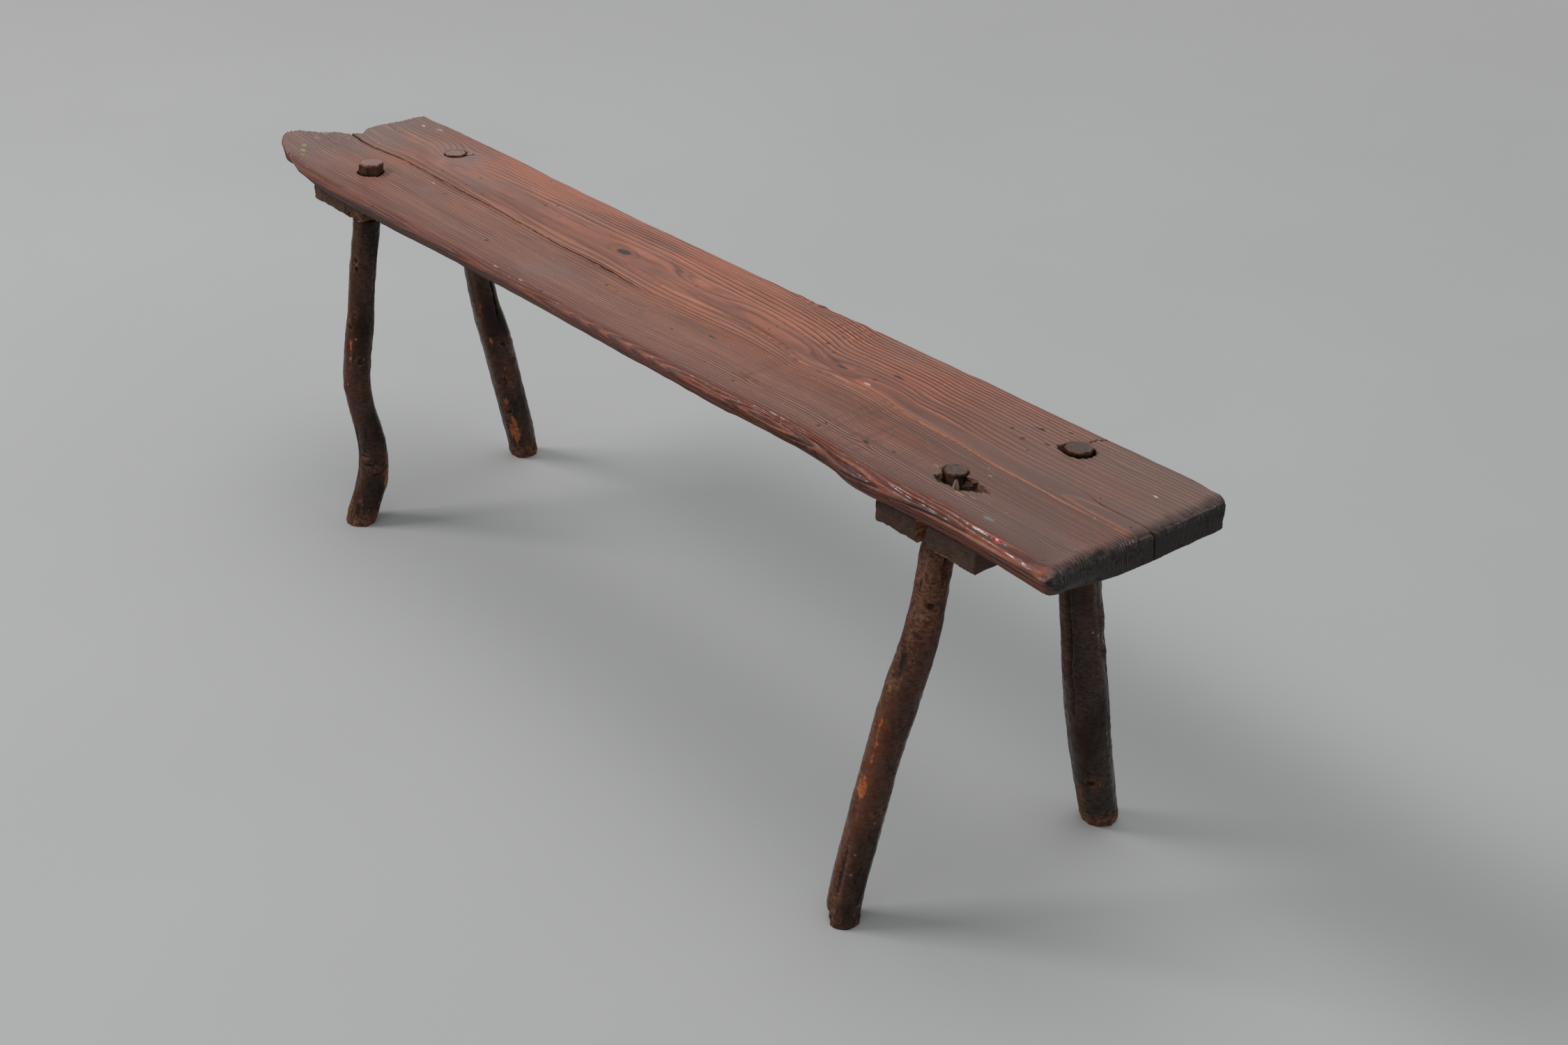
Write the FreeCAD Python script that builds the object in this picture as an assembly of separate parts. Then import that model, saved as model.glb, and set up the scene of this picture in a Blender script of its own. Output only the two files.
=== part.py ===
import FreeCAD, Part
import math
import os
from collections import namedtuple

# A rustic plank bench. One long plank is the seat. Two short battens lie across its
# underside, and four crooked branch legs pass up through battens and plank as tenons.
# Units are millimetres. X runs along the plank, towards its square-sawn end. The worn
# front edge faces -Y. Z is up, from the floor that the four feet stand on.

# Seat plank
SEAT_HEIGHT = 450.0
SEAT_LENGTH = 1406.0
SEAT_WIDTH = 221.0
PLANK_THICKNESS = 30.0
ARRIS_WEAR = 5.0
FRONT_ARRIS_WEAR = 6.0
LOWER_ARRIS_WEAR = 2.5
EDGE_UNDERCUT = 20.0

# Cracks along the grain of the plank
LONG_CRACK_WIDTH = 3.0
LONG_CRACK_DEPTH = 10.0
END_CRACK_LENGTH = 105.0
END_CRACK_WIDTH = 3.0

# Torn-out hollow beside the front right tenon
CRATER_LENGTH = 52.0
CRATER_WIDTH = 30.0
CRATER_DEPTH = 12.0

# Battens
BATTEN_THICKNESS = 25.0
BATTEN_WEAR = 2.5
BATTEN_BACK_SETBACK = 7.0
LEFT_BATTEN_WIDTH = 137.0
LEFT_BATTEN_INSET = 105.0
LEFT_BATTEN_FRONT_SETBACK = 30.0
RIGHT_BATTEN_WIDTH = 131.0
RIGHT_BATTEN_INSET = 108.0
RIGHT_BATTEN_FRONT_SETBACK = 21.0

# Damage at the front ends of the battens
LEFT_SPLIT_WIDTH = 1.6
LEFT_SPLIT_LENGTH = 45.0
LEFT_SPLIT_FROM_TENON = 18.0
LEFT_BREAK_WIDTH = 24.0
LEFT_BREAK_LENGTH = 20.0
RIGHT_GAP_WIDTH = 13.0
RIGHT_GAP_FROM_TENON = 9.0

# Front left leg. TENON is the tenon's width, PROUD its height above the seat, INSET its
# distance from the long edge, and ALONG its place from the middle of the batten. The foot
# stands OUT across the bench and LENGTHWISE along it from the point below the tenon.
FRONT_LEFT_GIRTH = 40.0
FRONT_LEFT_TENON = 31.0
FRONT_LEFT_PROUD = 13.0
FRONT_LEFT_INSET = 59.5
FRONT_LEFT_ALONG = 29.0
FRONT_LEFT_OUT = 67.0
FRONT_LEFT_LENGTHWISE = 12.0

# Back left leg
BACK_LEFT_GIRTH = 42.0
BACK_LEFT_TENON = 27.0
BACK_LEFT_PROUD = 2.0
BACK_LEFT_INSET = 47.5
BACK_LEFT_ALONG = 36.5
BACK_LEFT_OUT = 87.0
BACK_LEFT_LENGTHWISE = -27.0

# Front right leg
FRONT_RIGHT_GIRTH = 37.0
FRONT_RIGHT_TENON = 23.0
FRONT_RIGHT_PROUD = 2.5
FRONT_RIGHT_INSET = 70.5
FRONT_RIGHT_ALONG = -13.5
FRONT_RIGHT_OUT = 116.0
FRONT_RIGHT_LENGTHWISE = -9.0

# Back right leg
BACK_RIGHT_GIRTH = 44.0
BACK_RIGHT_TENON = 27.0
BACK_RIGHT_PROUD = 5.0
BACK_RIGHT_INSET = 36.5
BACK_RIGHT_ALONG = 27.5
BACK_RIGHT_OUT = 80.0
BACK_RIGHT_LENGTHWISE = -10.0

# Fit of the tenons in their mortises
TENON_CLEARANCE = 0.4
HEAD_BEVEL = 1.6
BACK_RIGHT_MORTISE_SLACK = 7.0

# Packing wedge in the back left mortise
BACK_WEDGE_WIDTH = 12.0
BACK_WEDGE_THICKNESS = 9.0
BACK_WEDGE_TIP = 4.0
BACK_WEDGE_PROUD = 1.0

# Broken stump of a wedge in the front right mortise
STUMP_WIDTH = 9.0
STUMP_THICKNESS = 5.0
STUMP_TIP = 2.5
STUMP_BELOW_SEAT = 3.0

# Extra length of every cutting shape beyond what it cuts
OVERRUN = 4.0

# Outline of the plank, anticlockwise from above, as shares of its half length and half width
FRONT_EDGE_SHARES = (
    (-0.85, -0.94), (-0.71, -1.01), (-0.50, -0.99), (-0.20, -0.96), (0.10, -0.96),
    (0.35, -0.95), (0.54, -0.92), (0.62, -0.99), (0.79, -0.94), (0.93, -0.98), (0.98, -1.0),
)
FRONT_RIGHT_CORNER_SHARES = ((0.98, -1.0), (0.995, -0.97), (1.0, -0.90))
BACK_RIGHT_CORNER_SHARES = ((1.0, 0.94), (0.997, 0.98), (0.99, 1.0))
BACK_EDGE_SHARES = ((0.99, 1.0), (0.43, 1.02), (-0.05, 0.99), (-0.36, 0.99), (-0.66, 1.03), (-0.90, 1.0))
BACK_LEFT_CORNER_SHARES = ((-0.90, 1.0), (-0.918, 0.98), (-0.924, 0.93))
LEFT_BACK_SHARES = ((-0.924, 0.93), (-0.928, 0.60), (-0.926, 0.28))
NOTCH_SHARES = ((-0.926, 0.28), (-0.907, 0.12), (-0.925, -0.01))
LEFT_FRONT_SHARES = (
    (-0.925, -0.01), (-0.948, -0.09), (-0.965, -0.24), (-0.990, -0.36), (-1.0, -0.50),
    (-0.980, -0.65), (-0.930, -0.79), (-0.85, -0.94),
)

# Long crack: its middle line in the same shares, from the notch to where it closes
LONG_CRACK_SHARES = (
    (-0.94, 0.03), (-0.80, 0.02), (-0.60, 0.01), (-0.42, -0.03), (-0.22, -0.07), (0.0, -0.10),
)
END_CRACK_SIDE_SHARE = 0.13
NOSE_HEIGHT_SHARE = 0.55
NOSE_SET_BACK_SHARE = 0.3

# Rim of the crater, from the middle of the front right tenon, as shares of its length and width
CRATER_SHARES = (
    (-0.31, -0.02), (-0.14, -0.44), (0.06, -0.68), (0.28, -0.74), (0.56, -0.70),
    (0.69, -0.40), (0.62, -0.02), (0.40, 0.12), (0.0, 0.06),
)
CRATER_FLOOR_SHARE = 0.62

# Course of each leg, in even steps from the floor to the shoulder: how far the branch bends
# along and across the bench, and how thick it is, as shares of its girth
FRONT_LEFT_BEND_SHARES = (
    (0.0, 0.0, 0.96), (0.13, 0.24, 1.01), (0.14, 0.25, 0.90), (-0.03, -0.04, 0.83),
    (-0.14, -0.24, 0.85), (-0.13, -0.20, 0.86), (-0.10, -0.15, 0.82), (-0.07, -0.11, 0.82),
    (-0.04, -0.06, 0.84),
)
BACK_LEFT_BEND_SHARES = (
    (0.0, 0.0, 0.90), (0.01, 0.01, 0.93), (0.0, -0.01, 0.97), (-0.01, -0.03, 0.98),
    (-0.03, -0.08, 0.99), (-0.06, -0.14, 0.88), (-0.04, -0.10, 0.85), (-0.02, -0.07, 0.83),
    (0.0, -0.05, 0.84),
)
FRONT_RIGHT_BEND_SHARES = (
    (0.0, 0.0, 0.91), (-0.06, -0.08, 0.94), (-0.03, -0.07, 0.96), (-0.01, -0.06, 0.96),
    (0.03, -0.05, 0.98), (0.10, -0.01, 1.01), (0.16, 0.04, 0.95), (0.13, 0.01, 0.90),
    (0.08, 0.0, 0.91),
)
BACK_RIGHT_BEND_SHARES = (
    (0.0, 0.02, 0.89), (-0.03, -0.04, 0.96), (-0.06, -0.08, 0.99), (-0.08, -0.10, 1.0),
    (-0.09, -0.11, 1.0), (-0.09, -0.12, 0.97), (-0.08, -0.11, 0.94), (-0.05, -0.07, 0.91),
    (-0.02, -0.03, 0.89),
)

# Radii round the branches and round the whittled tenons, as shares of the half width
BRANCH_ROUND_SHARES = (1.0, 0.98, 0.95, 0.97, 1.0, 0.99, 0.96, 0.98)
FRONT_LEFT_HEAD_SHARES = (1.0, 0.94, 0.97, 0.90, 1.0, 0.95, 0.92)
BACK_LEFT_HEAD_SHARES = (0.97, 1.0, 0.94, 0.80, 0.92, 1.0, 0.96, 0.84)
FRONT_RIGHT_HEAD_SHARES = (1.0, 0.96, 0.88, 0.94, 1.0, 0.97, 0.86, 0.93)
BACK_RIGHT_HEAD_SHARES = (1.0, 0.93, 0.97, 0.90, 0.98, 1.0, 0.92, 0.96)

# Directions from a tenon's middle, in degrees anticlockwise from +X
BACK_WEDGE_TURN = 50.0
STUMP_TURN = -32.0
BACK_RIGHT_SLACK_TURN = 200.0

PLANK_BOTTOM = SEAT_HEIGHT - PLANK_THICKNESS
SHOULDER_HEIGHT = PLANK_BOTTOM - BATTEN_THICKNESS
HALF_LENGTH = SEAT_LENGTH / 2
HALF_WIDTH = SEAT_WIDTH / 2
LEFT_BATTEN_MIDDLE = -HALF_LENGTH + LEFT_BATTEN_INSET + LEFT_BATTEN_WIDTH / 2
RIGHT_BATTEN_MIDDLE = HALF_LENGTH - RIGHT_BATTEN_INSET - RIGHT_BATTEN_WIDTH / 2

Leg = namedtuple("Leg", "node tenon_x tenon_y foot_x foot_y girth tenon proud bend_shares head_shares")


def leg(node, middle, along, side, inset, out, lengthwise, girth, tenon, proud, bend_shares, head_shares):
    """Places one leg. side is -1 for the front edge of the plank and 1 for the back edge."""
    tenon_x = middle + along
    tenon_y = side * (HALF_WIDTH - inset)
    foot_x = tenon_x + lengthwise
    foot_y = tenon_y + side * out
    return Leg(node, tenon_x, tenon_y, foot_x, foot_y, girth, tenon, proud, bend_shares, head_shares)


FRONT_LEFT = leg(
    "front_left_leg", LEFT_BATTEN_MIDDLE, FRONT_LEFT_ALONG, -1, FRONT_LEFT_INSET, FRONT_LEFT_OUT,
    FRONT_LEFT_LENGTHWISE, FRONT_LEFT_GIRTH, FRONT_LEFT_TENON, FRONT_LEFT_PROUD,
    FRONT_LEFT_BEND_SHARES, FRONT_LEFT_HEAD_SHARES,
)
BACK_LEFT = leg(
    "back_left_leg", LEFT_BATTEN_MIDDLE, BACK_LEFT_ALONG, 1, BACK_LEFT_INSET, BACK_LEFT_OUT,
    BACK_LEFT_LENGTHWISE, BACK_LEFT_GIRTH, BACK_LEFT_TENON, BACK_LEFT_PROUD,
    BACK_LEFT_BEND_SHARES, BACK_LEFT_HEAD_SHARES,
)
FRONT_RIGHT = leg(
    "front_right_leg", RIGHT_BATTEN_MIDDLE, FRONT_RIGHT_ALONG, -1, FRONT_RIGHT_INSET, FRONT_RIGHT_OUT,
    FRONT_RIGHT_LENGTHWISE, FRONT_RIGHT_GIRTH, FRONT_RIGHT_TENON, FRONT_RIGHT_PROUD,
    FRONT_RIGHT_BEND_SHARES, FRONT_RIGHT_HEAD_SHARES,
)
BACK_RIGHT = leg(
    "back_right_leg", RIGHT_BATTEN_MIDDLE, BACK_RIGHT_ALONG, 1, BACK_RIGHT_INSET, BACK_RIGHT_OUT,
    BACK_RIGHT_LENGTHWISE, BACK_RIGHT_GIRTH, BACK_RIGHT_TENON, BACK_RIGHT_PROUD,
    BACK_RIGHT_BEND_SHARES, BACK_RIGHT_HEAD_SHARES,
)


def spline(points):
    """A smooth edge through the points."""
    curve = Part.BSplineCurve()
    curve.interpolate(points)
    return curve.toShape()


def polygon(points):
    """A closed wire of straight edges."""
    return Part.makePolygon(points + points[:1])


def prism(points, height):
    """A solid with a flat outline, standing straight up."""
    return Part.Face(polygon(points)).extrude(FreeCAD.Vector(0, 0, height))


def axis_point(branch, z):
    """The point at height z on the straight line from a foot to its tenon's middle."""
    share = z / SEAT_HEIGHT
    x = branch.foot_x + (branch.tenon_x - branch.foot_x) * share
    y = branch.foot_y + (branch.tenon_y - branch.foot_y) * share
    return FreeCAD.Vector(x, y, z)


def turned(middle, radius, degrees):
    """A point at a distance and direction from a middle point, at the same height."""
    angle = math.radians(degrees)
    return middle + FreeCAD.Vector(radius * math.cos(angle), radius * math.sin(angle), 0)


def ring(middle, half_width, shares):
    """Points round a middle point, one for each share of the half width."""
    step = 360.0 / len(shares)
    return [turned(middle, half_width * share, step * i) for i, share in enumerate(shares)]


def plank_section(z, wear, set_back):
    """The plank's outline at one height. set_back draws the front edge in, most at the front."""

    def place(share):
        y = share[1] * (HALF_WIDTH - wear) + max(0, -share[1]) * set_back
        return FreeCAD.Vector(share[0] * (HALF_LENGTH - wear), y, z)

    def places(shares):
        return [place(share) for share in shares]

    notch = places(NOTCH_SHARES)
    edges = [
        spline(places(FRONT_EDGE_SHARES)),
        Part.Arc(*places(FRONT_RIGHT_CORNER_SHARES)).toShape(),
        Part.makeLine(place(FRONT_RIGHT_CORNER_SHARES[-1]), place(BACK_RIGHT_CORNER_SHARES[0])),
        Part.Arc(*places(BACK_RIGHT_CORNER_SHARES)).toShape(),
        spline(places(BACK_EDGE_SHARES)),
        Part.Arc(*places(BACK_LEFT_CORNER_SHARES)).toShape(),
        spline(places(LEFT_BACK_SHARES)),
        Part.makeLine(notch[0], notch[1]),
        Part.makeLine(notch[1], notch[2]),
        spline(places(LEFT_FRONT_SHARES)),
    ]
    return Part.Wire(edges)


def plank_blank():
    """The plank with its rounded arrises and undercut front edge, before anything is cut in it."""
    nose = PLANK_BOTTOM + PLANK_THICKNESS * NOSE_HEIGHT_SHARE
    low_set_back = EDGE_UNDERCUT + (EDGE_UNDERCUT * NOSE_SET_BACK_SHARE - EDGE_UNDERCUT) * (
        LOWER_ARRIS_WEAR / (nose - PLANK_BOTTOM))
    sections = [
        plank_section(PLANK_BOTTOM, LOWER_ARRIS_WEAR, EDGE_UNDERCUT),
        plank_section(PLANK_BOTTOM + LOWER_ARRIS_WEAR, 0, low_set_back),
        plank_section(nose, 0, EDGE_UNDERCUT * NOSE_SET_BACK_SHARE),
        plank_section(SEAT_HEIGHT - ARRIS_WEAR, 0, 0),
        plank_section(SEAT_HEIGHT - ARRIS_WEAR / 4, ARRIS_WEAR / 3, FRONT_ARRIS_WEAR / 3),
        plank_section(SEAT_HEIGHT, ARRIS_WEAR, FRONT_ARRIS_WEAR),
    ]
    return Part.makeLoft(sections, True, True)


def long_crack():
    """The open shake along the grain, widest at the notched end, as a cutting shape."""
    middle_line = [(share[0] * HALF_LENGTH, share[1] * HALF_WIDTH) for share in LONG_CRACK_SHARES]
    last = len(middle_line) - 1
    floor = SEAT_HEIGHT - LONG_CRACK_DEPTH
    near_side = []
    far_side = []
    for i, (x, y) in enumerate(middle_line[:-1]):
        half_gap = LONG_CRACK_WIDTH / 2 * (last - i) / last
        near_side.append(FreeCAD.Vector(x, y - half_gap, floor))
        far_side.append(FreeCAD.Vector(x, y + half_gap, floor))
    tip = FreeCAD.Vector(middle_line[-1][0], middle_line[-1][1], floor)
    return prism(near_side + [tip] + far_side[::-1], LONG_CRACK_DEPTH + OVERRUN)


def end_crack():
    """The split at the square-sawn end, right through the plank, as a cutting shape."""
    y = END_CRACK_SIDE_SHARE * HALF_WIDTH
    low = PLANK_BOTTOM - OVERRUN
    half_gap = END_CRACK_WIDTH / 2
    points = [
        FreeCAD.Vector(HALF_LENGTH - END_CRACK_LENGTH, y + END_CRACK_WIDTH, low),
        FreeCAD.Vector(HALF_LENGTH + OVERRUN, y - half_gap, low),
        FreeCAD.Vector(HALF_LENGTH + OVERRUN, y + half_gap, low),
    ]
    return prism(points, PLANK_THICKNESS + 2 * OVERRUN)


def crater():
    """The torn hollow in the seat at the front right tenon, as a cutting shape."""
    middle = (FRONT_RIGHT.tenon_x, FRONT_RIGHT.tenon_y)
    rim_x = sum(share[0] for share in CRATER_SHARES) / len(CRATER_SHARES)
    rim_y = sum(share[1] for share in CRATER_SHARES) / len(CRATER_SHARES)

    def rim(z, size):
        points = []
        for share in CRATER_SHARES:
            x = rim_x + (share[0] - rim_x) * size
            y = rim_y + (share[1] - rim_y) * size
            points.append(FreeCAD.Vector(middle[0] + x * CRATER_LENGTH, middle[1] + y * CRATER_WIDTH, z))
        return polygon(points)

    slope = (1 - CRATER_FLOOR_SHARE) / CRATER_DEPTH
    floor = rim(SEAT_HEIGHT - CRATER_DEPTH, CRATER_FLOOR_SHARE)
    mouth = rim(SEAT_HEIGHT + OVERRUN, 1 + slope * OVERRUN)
    return Part.makeLoft([floor, mouth], True, True)


def bore(branch):
    """The slanting round hole that a tenon passes through, as a cutting shape."""
    low = axis_point(branch, SHOULDER_HEIGHT - OVERRUN)
    high = axis_point(branch, SEAT_HEIGHT + OVERRUN)
    circle = Part.makeCircle(branch.tenon / 2 + TENON_CLEARANCE, low)
    return Part.Face(Part.Wire(circle)).extrude(high - low)


def wedge_blank(branch, turn, width, thickness, tip, low, high):
    """A tapered block beside a tenon, which starts inside the bore and thickens upwards."""

    def outline(z, reach):
        middle = axis_point(branch, z)
        inner = turned(middle, branch.tenon / 4, turn)
        outer = turned(middle, branch.tenon / 2 + TENON_CLEARANCE + reach, turn)
        side = turned(FreeCAD.Vector(0, 0, 0), width / 2, turn + 90)
        return polygon([inner - side, outer - side, outer + side, inner + side])

    return Part.makeLoft([outline(low, tip), outline(high, thickness)], True, True)


def back_wedge_blank():
    """The block that both the back left wedge and its place in the plank are cut from."""
    return wedge_blank(
        BACK_LEFT, BACK_WEDGE_TURN, BACK_WEDGE_WIDTH, BACK_WEDGE_THICKNESS, BACK_WEDGE_TIP,
        PLANK_BOTTOM, SEAT_HEIGHT + BACK_WEDGE_PROUD)


def stump_blank():
    """The block that both the broken wedge and its place in the plank are cut from."""
    return wedge_blank(
        FRONT_RIGHT, STUMP_TURN, STUMP_WIDTH, STUMP_THICKNESS, STUMP_TIP,
        PLANK_BOTTOM, SEAT_HEIGHT - STUMP_BELOW_SEAT)


def mortise_slack():
    """The open gap beside the back right tenon, as a cutting shape."""
    slack = BACK_RIGHT_MORTISE_SLACK
    return wedge_blank(
        BACK_RIGHT, BACK_RIGHT_SLACK_TURN, BACK_RIGHT_TENON * 0.7, slack, slack,
        PLANK_BOTTOM - OVERRUN, SEAT_HEIGHT + OVERRUN)


def seat_plank():
    """The seat: the plank with its cracks, crater, mortises and wedge slots."""
    cuts = [bore(branch) for branch in (FRONT_LEFT, BACK_LEFT, FRONT_RIGHT, BACK_RIGHT)]
    cuts += [long_crack(), end_crack(), crater(), mortise_slack(), back_wedge_blank(), stump_blank()]
    shape = plank_blank()
    for tool in cuts:
        shape = shape.cut(tool)
    return shape


def batten_blank(middle, width, front_setback):
    """A flat batten under the plank with its lower edges worn."""
    front = -HALF_WIDTH + front_setback
    back = HALF_WIDTH - BATTEN_BACK_SETBACK

    def outline(z, wear):
        left = middle - width / 2 + wear
        right = middle + width / 2 - wear
        corners = [(left, front + wear), (right, front + wear), (right, back - wear), (left, back - wear)]
        return polygon([FreeCAD.Vector(x, y, z) for x, y in corners])

    sections = [
        outline(SHOULDER_HEIGHT, BATTEN_WEAR),
        outline(SHOULDER_HEIGHT + BATTEN_WEAR, 0),
        outline(PLANK_BOTTOM, 0),
    ]
    return Part.makeLoft(sections, True, True)


def slot(left, right, front, back):
    """A straight slot through a batten, from in front of it to a place behind its face."""
    low = SHOULDER_HEIGHT - OVERRUN
    corners = [(left, front), (right, front), (right, back), (left, back)]
    points = [FreeCAD.Vector(x, y, low) for x, y in corners]
    return prism(points, BATTEN_THICKNESS + 2 * OVERRUN)


def left_batten():
    """The left batten, split beside the front tenon and broken short at its inner front corner."""
    shape = batten_blank(LEFT_BATTEN_MIDDLE, LEFT_BATTEN_WIDTH, LEFT_BATTEN_FRONT_SETBACK)
    front = -HALF_WIDTH + LEFT_BATTEN_FRONT_SETBACK
    inner_side = LEFT_BATTEN_MIDDLE + LEFT_BATTEN_WIDTH / 2
    split = FRONT_LEFT.tenon_x - LEFT_SPLIT_FROM_TENON
    cuts = [
        bore(FRONT_LEFT),
        bore(BACK_LEFT),
        slot(split - LEFT_SPLIT_WIDTH, split, front - OVERRUN, front + LEFT_SPLIT_LENGTH),
        slot(inner_side - LEFT_BREAK_WIDTH, inner_side + OVERRUN, front - OVERRUN, front + LEFT_BREAK_LENGTH),
    ]
    for tool in cuts:
        shape = shape.cut(tool)
    return shape


def right_batten():
    """The right batten, with a piece broken out of its front end as far as the tenon."""
    shape = batten_blank(RIGHT_BATTEN_MIDDLE, RIGHT_BATTEN_WIDTH, RIGHT_BATTEN_FRONT_SETBACK)
    front = -HALF_WIDTH + RIGHT_BATTEN_FRONT_SETBACK
    tenon_middle = axis_point(FRONT_RIGHT, PLANK_BOTTOM)
    gap = tenon_middle.x + RIGHT_GAP_FROM_TENON
    half_gap = RIGHT_GAP_WIDTH / 2
    cuts = [
        bore(FRONT_RIGHT),
        bore(BACK_RIGHT),
        slot(gap - half_gap, gap + half_gap, front - OVERRUN, tenon_middle.y),
    ]
    for tool in cuts:
        shape = shape.cut(tool)
    return shape


def branch_body(branch):
    """The crooked branch below the shoulder, cut flat at the floor and under the batten."""
    steps = len(branch.bend_shares) - 1
    sections = []
    for i, (bend_x, bend_y, thickness) in enumerate(branch.bend_shares):
        middle = axis_point(branch, SHOULDER_HEIGHT * i / steps)
        middle += FreeCAD.Vector(bend_x * branch.girth, bend_y * branch.girth, 0)
        points = ring(middle, branch.girth / 2 * thickness, BRANCH_ROUND_SHARES)
        curve = Part.BSplineCurve()
        curve.interpolate(points, PeriodicFlag=True)
        sections.append(Part.Wire(curve.toShape()))
    return Part.makeLoft(sections, True, False)


def whittled_tenon(branch):
    """The faceted tenon, from the shoulder through batten and plank to its bevelled head."""
    half = branch.tenon / 2
    head = SEAT_HEIGHT + branch.proud
    sections = [
        polygon(ring(axis_point(branch, SHOULDER_HEIGHT), half, branch.head_shares)),
        polygon(ring(axis_point(branch, head - HEAD_BEVEL), half, branch.head_shares)),
        polygon(ring(axis_point(branch, head), half - HEAD_BEVEL, branch.head_shares)),
    ]
    return Part.makeLoft(sections, True, True)


def branch_leg(branch):
    """One leg: a branch and its tenon, a single piece of wood."""
    return branch_body(branch).fuse(whittled_tenon(branch))


def back_left_wedge():
    """The thin packing wedge driven beside the back left tenon."""
    return back_wedge_blank().cut(bore(BACK_LEFT))


def front_right_wedge():
    """The stump of the wedge beside the front right tenon, standing in the crater."""
    return stump_blank().cut(bore(FRONT_RIGHT))


def main():
    pieces = {
        "seat_plank": seat_plank(),
        "left_batten": left_batten(),
        "right_batten": right_batten(),
        "back_left_wedge": back_left_wedge(),
        "front_right_wedge": front_right_wedge(),
    }
    for branch in (FRONT_LEFT, BACK_LEFT, FRONT_RIGHT, BACK_RIGHT):
        pieces[branch.node] = branch_leg(branch)
    os.makedirs("parts", exist_ok=True)
    for node, shape in pieces.items():
        print(node, "solids", len(shape.Solids), "valid", shape.isValid(), "volume", round(shape.Volume))
        shape.exportStep("parts/" + node + ".step")


main()
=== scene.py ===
import functools
import math

import bmesh
import bpy
import numpy as np
from bpy.props import FloatProperty, FloatVectorProperty, PointerProperty
from mathutils import Matrix, Vector
from mathutils.bvhtree import BVHTree


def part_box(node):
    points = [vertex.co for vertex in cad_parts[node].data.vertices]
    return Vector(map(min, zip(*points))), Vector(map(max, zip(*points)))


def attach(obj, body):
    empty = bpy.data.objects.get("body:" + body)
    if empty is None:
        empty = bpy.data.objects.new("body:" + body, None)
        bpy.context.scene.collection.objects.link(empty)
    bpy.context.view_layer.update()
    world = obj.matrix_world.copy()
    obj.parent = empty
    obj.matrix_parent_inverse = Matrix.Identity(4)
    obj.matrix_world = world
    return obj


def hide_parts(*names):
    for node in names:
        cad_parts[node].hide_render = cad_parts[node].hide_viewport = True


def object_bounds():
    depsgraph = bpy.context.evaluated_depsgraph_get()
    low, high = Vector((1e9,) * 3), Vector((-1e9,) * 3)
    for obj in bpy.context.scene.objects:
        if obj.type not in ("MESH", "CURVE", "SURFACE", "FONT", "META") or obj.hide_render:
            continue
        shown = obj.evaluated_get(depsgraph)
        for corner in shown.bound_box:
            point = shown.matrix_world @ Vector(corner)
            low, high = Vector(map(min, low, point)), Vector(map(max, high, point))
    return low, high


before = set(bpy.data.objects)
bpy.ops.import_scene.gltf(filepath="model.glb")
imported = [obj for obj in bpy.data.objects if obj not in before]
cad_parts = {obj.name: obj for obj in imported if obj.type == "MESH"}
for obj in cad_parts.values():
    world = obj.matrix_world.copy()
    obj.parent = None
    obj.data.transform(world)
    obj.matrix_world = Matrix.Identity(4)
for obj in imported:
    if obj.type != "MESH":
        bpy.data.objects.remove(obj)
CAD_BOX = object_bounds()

# A rustic plank bench: a worn softwood seat on two battens and four branch legs, whose
# tenons come up through the seat. Shapes are worked out in millimetres, in the frame of
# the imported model: X along the plank, -Y towards its worn front edge, Z up.

bl_info = {
    "name": "Rustic Plank Bench",
    "version": (1, 0, 0),
    "blender": (4, 5, 0),
    "location": "3D View > Sidebar > Bench",
    "description": "Builds a worn plank bench with branch legs round its packed solids",
    "category": "Object",
}

MM = 0.001
SEAT_TOP = 450.0
PLANK_BOTTOM = 420.0
SHOULDER = 395.0
PLANK_LENGTH = 1406.0
HALF_LENGTH = PLANK_LENGTH / 2
THICKNESS = SEAT_TOP - PLANK_BOTTOM
HALF_WIDTH = 110.5

# Cuts of the plank's slab: along, across and down. Underneath only one line in so many stays.
STATIONS, COLUMNS, LAYERS = 158, 326, 26
UNDER_STEP = 7
# Cuts of a batten's block, and sides, steps and end rings of a leg's rod
BATTEN_CUTS = (60, 76, 13)
LEG_SIDES, LEG_STEPS, LEG_RINGS = 96, 250, 7
# Steps of a leg below its shoulder
BODY_STEPS = 196
# Size of the cells that a wedge is remade from
WEDGE_CELL = 0.00055

# ---------------------------------------------------------------- outlines of the plank

# Front and back edges, x and y
FRONT_EDGE = (
    (-703, -103), (-598, -104), (-560, -109), (-499, -111.5), (-420, -110), (-351, -109),
    (-240, -107), (-141, -106), (-30, -105.5), (70, -106), (160, -106), (246, -105),
    (330, -102.5), (380, -101.7), (405, -103), (436, -109.4), (500, -107.5), (555, -104),
    (610, -106), (654, -108.3), (689, -110.5), (703, -110.5),
)
BACK_EDGE = (
    (-703, 109.5), (-633, 110.5), (-560, 112.5), (-464, 113.6), (-380, 111), (-253, 109.4),
    (-150, 109.0), (-35, 109.6), (80, 111), (190, 111.6), (302, 112.6), (450, 112.4),
    (580, 111.6), (696, 110.5), (703, 110.0),
)
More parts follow.
